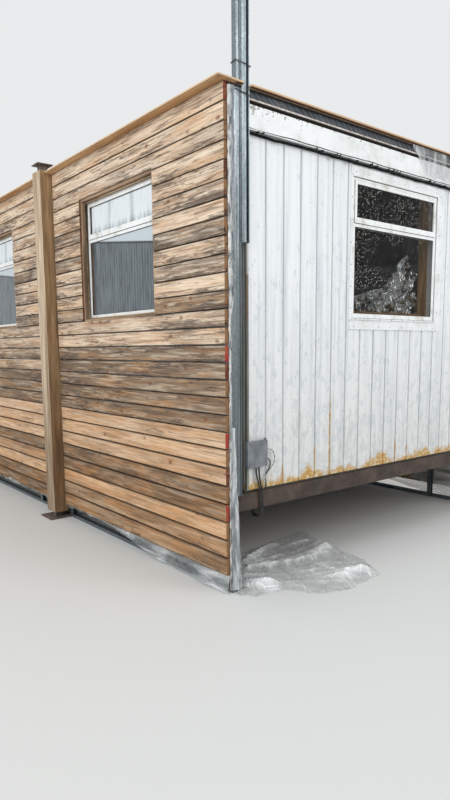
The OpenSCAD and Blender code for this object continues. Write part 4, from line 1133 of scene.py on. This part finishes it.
# The batten is bare pale grey above, has two new slips on it from 1.84 to 2.13 m, and is
# greenish grey below them
batten_wood, place = new_material("patched_corner_batten")
along = turned(place, grain_z)
bare, height = wood_figure(along, "#d4d2cc", "#a9a69f", "#8d8a82", 0.4)
green, _ = wood_figure(along, "#9c9c8d", "#717266", "#5e5f56", 0.4)
slips, _ = wood_figure(along, "#a39078", "#7c6a57", "#665a4e", 0.3)
colour = mix(place.z > 2.13, slips, bare)
colour = mix(place.z < 1.84, colour, green)
# Painted shade along the studs, where the battens meet them in the corner
colour = mix(remap(abs(place.y), 1.583, 1.588, 0, 0.9), colour, "#33322f")
surface(batten_wood, colour, 0.8, height, 0.0012, 0.7, shine=0.3)
paint_node(batten_wood, "corner_battens")
ties = []
x0, x1, y0, y1 = 4.183, 4.240, -1.697, -1.583
for z, spread in ((3.40, 0.004), (3.23, 0.007)):
    ties.append([(x0, y0, z), (x1 - 0.006, y0 - 0.002, z + spread), (x1, y1 - 0.045, z - spread),
                 (x1 + 0.002, y1, z - 0.012), (x0, y1, z - 0.004)])
tie_wire = stained("black_annealed_wire", 120, ((0.35, "#1f1e1d"), (0.65, "#494541")), 0.55, metal=0.6)
beads("stud_ties", ties, tie_wire, "galvanised", 0.005, 0.005, 0.002)

# Isolator box
# A grey moulded switch box screwed to the batten. Its lid has a raised edge and a screw
# at each corner, and it has a knob on top and glands below and at its side.
isolator_shell, place = new_material("faded_grey_moulding")
colour = ramp(cloud(place, 14, 5, 0.6), (0.35, "#62666b"), (0.62, "#7f8388"))
surface(isolator_shell, colour, 0.5, cloud(place, 320), 0.0003, 0.5)
paint_node(isolator_shell, "isolator_box")
lid_x, lid_y0, lid_y1, lid_z0, lid_z1 = 4.235, -1.609, -1.429, 0.841, 1.023
lid_spots = [((lid_x, y, z), (1, 0, 0)) for y in (lid_y0 + 0.014, lid_y1 - 0.014)
             for z in (lid_z0 + 0.014, lid_z1 - 0.014)]
fasteners("lid_screws", lid_spots, rusty_nail, "galvanised", 0.005, 0.0012)
inset = 0.026
near, far, low, high = lid_y0 + inset, lid_y1 - inset, lid_z0 + inset, lid_z1 - inset
seam = [(lid_x - 0.0015, y, z) for y, z in ((near, low), (far, low), (far, high), (near, high))]
beads("lid_raised_edge", [seam], isolator_shell, "isolator_grey", 0.004, 0.006, 0.0015)

# Loose membrane on the ground
# The torn foot of the polythene, which hangs from the corner stud and lies in folds
# over the ground in front of the chassis.
torn = [(-0.06, 0.06), (0.06, 0.06), (0.15, 0.13), (0.19, 0.355), (0.39, 0.49), (0.47, 0.70), (0.42, 1.10),
        (0.15, 1.26), (-0.26, 1.33), (-0.70, 1.44), (-0.56, 0.52)]


def edge_distance(x, y, ring):
    """Distance to the ring's edge, and whether the point is inside it."""
    near, inside = 9, False
    for (ax, ay), (bx, by) in zip(ring, ring[1:] + ring[:1]):
        w = ((x - ax) * (bx - ax) + (y - ay) * (by - ay)) / ((bx - ax) ** 2 + (by - ay) ** 2)
        w = min(1, max(0, w))
        near = min(near, math.hypot(x - ax - w * (bx - ax), y - ay - w * (by - ay)))
        if (ay > y) != (by > y) and x < ax + (y - ay) * (bx - ax) / (by - ay):
            inside = not inside
    return near, inside


def ground_place(x, y):
    """Long sharp folds that fan out from the foot of the corner, with small creases."""
    near, _ = edge_distance(x, y, torn)
    lift = min(1, near / 0.12)
    turn, reach = math.atan2(y + 0.05, x + 0.3), math.hypot(x + 0.3, y + 0.05)
    ridge = max(0, 1 - 4.6 * abs(noise.noise((turn * 3.6, reach * 0.5, 2))))
    small = max(0, 1 - 5 * abs(noise.noise((turn * 7, reach * 0.9, 5))))
    ruck = 0.050 * ridge + 0.018 * small + 0.006 * noise.noise((x * 4, y * 3, 1))
    return half_l + x, -half_w + y, 0.004 + lift * (0.006 + ruck)


thin_film = new_film("glossy_torn_polythene", 0.12, 0.45, (4, 7, 5), 0.003, 0.45, ridges=True)
loose = cloth_grid("loose_membrane_sheet", steps(-0.70, 0.47, 0.02), steps(0.06, 1.44, 0.02), ground_place,
                   lambda x, y: edge_distance(x, y, torn)[1])
area = sum(f.area for f in loose.polygons)
loose = new_piece("loose_membrane_sheet", loose, thin_film, 25)
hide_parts("loose_membrane")


def tail_place(a, b):
    """The twisted strip that hangs from the corner at 1.1 m and joins the torn length."""
    width = 0.032 + 0.048 * b + 0.008 * noise.noise((0, b * 7, 2))
    ruck = noise.noise((a * 3, b * 9, 4)) + 0.5 * noise.noise((a * 7, b * 26, 9))
    drop = 1.10 * (1 - b) + 0.035
    return (half_l + 0.012 + 0.010 * ruck + 0.012 * math.sin(math.pi * a) + 0.02 * b,
            -half_w + 0.036 - 0.008 * b + width * a, drop)


tail = cloth_grid("hanging_membrane_tail", steps(0, 1, 0.14), steps(0, 1, 0.02), tail_place)
area = sum(f.area for f in tail.polygons)
pleated = new_film("pleated_polythene", 0.3, 0.7, (16, 16, 2), 0.005, 0.1)
tail = new_piece("hanging_membrane_tail", tail, pleated, 30)

# Corner of sheet over the roof's edge
# A loose corner of clear sheet from the roof, which hangs over the fascia at the far
# end of the white side and has crumpled at its lower edge.


def flap_place(a, b):
    y = 1.92 + 0.77 * a
    fall = min(0.64 * a, 0.205 + 0.012 * a)
    fall *= 1 + 0.1 * noise.noise((a * 8, 0, 0))
    ruck = noise.noise((a * 6 + b, b * 2, 3)) + 0.6 * noise.noise((a * 15, b * 5, 8))
    return half_l + 0.014 + 0.010 * ruck * (0.3 + b), y - half_w, boards_top - 0.001 - fall * b


flap = cloth_grid("end_flap_sheet", steps(0.02, 1, 0.02), steps(0, 1, 0.06), flap_place)
area = sum(f.area for f in flap.polygons)
clear_sheet = new_film("clear_roof_sheet", 0.22, 0.62, (4, 7, 3), 0.004, 0.1)
flap = new_piece("end_flap_sheet", flap, clear_sheet, 30)
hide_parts("end_flap")
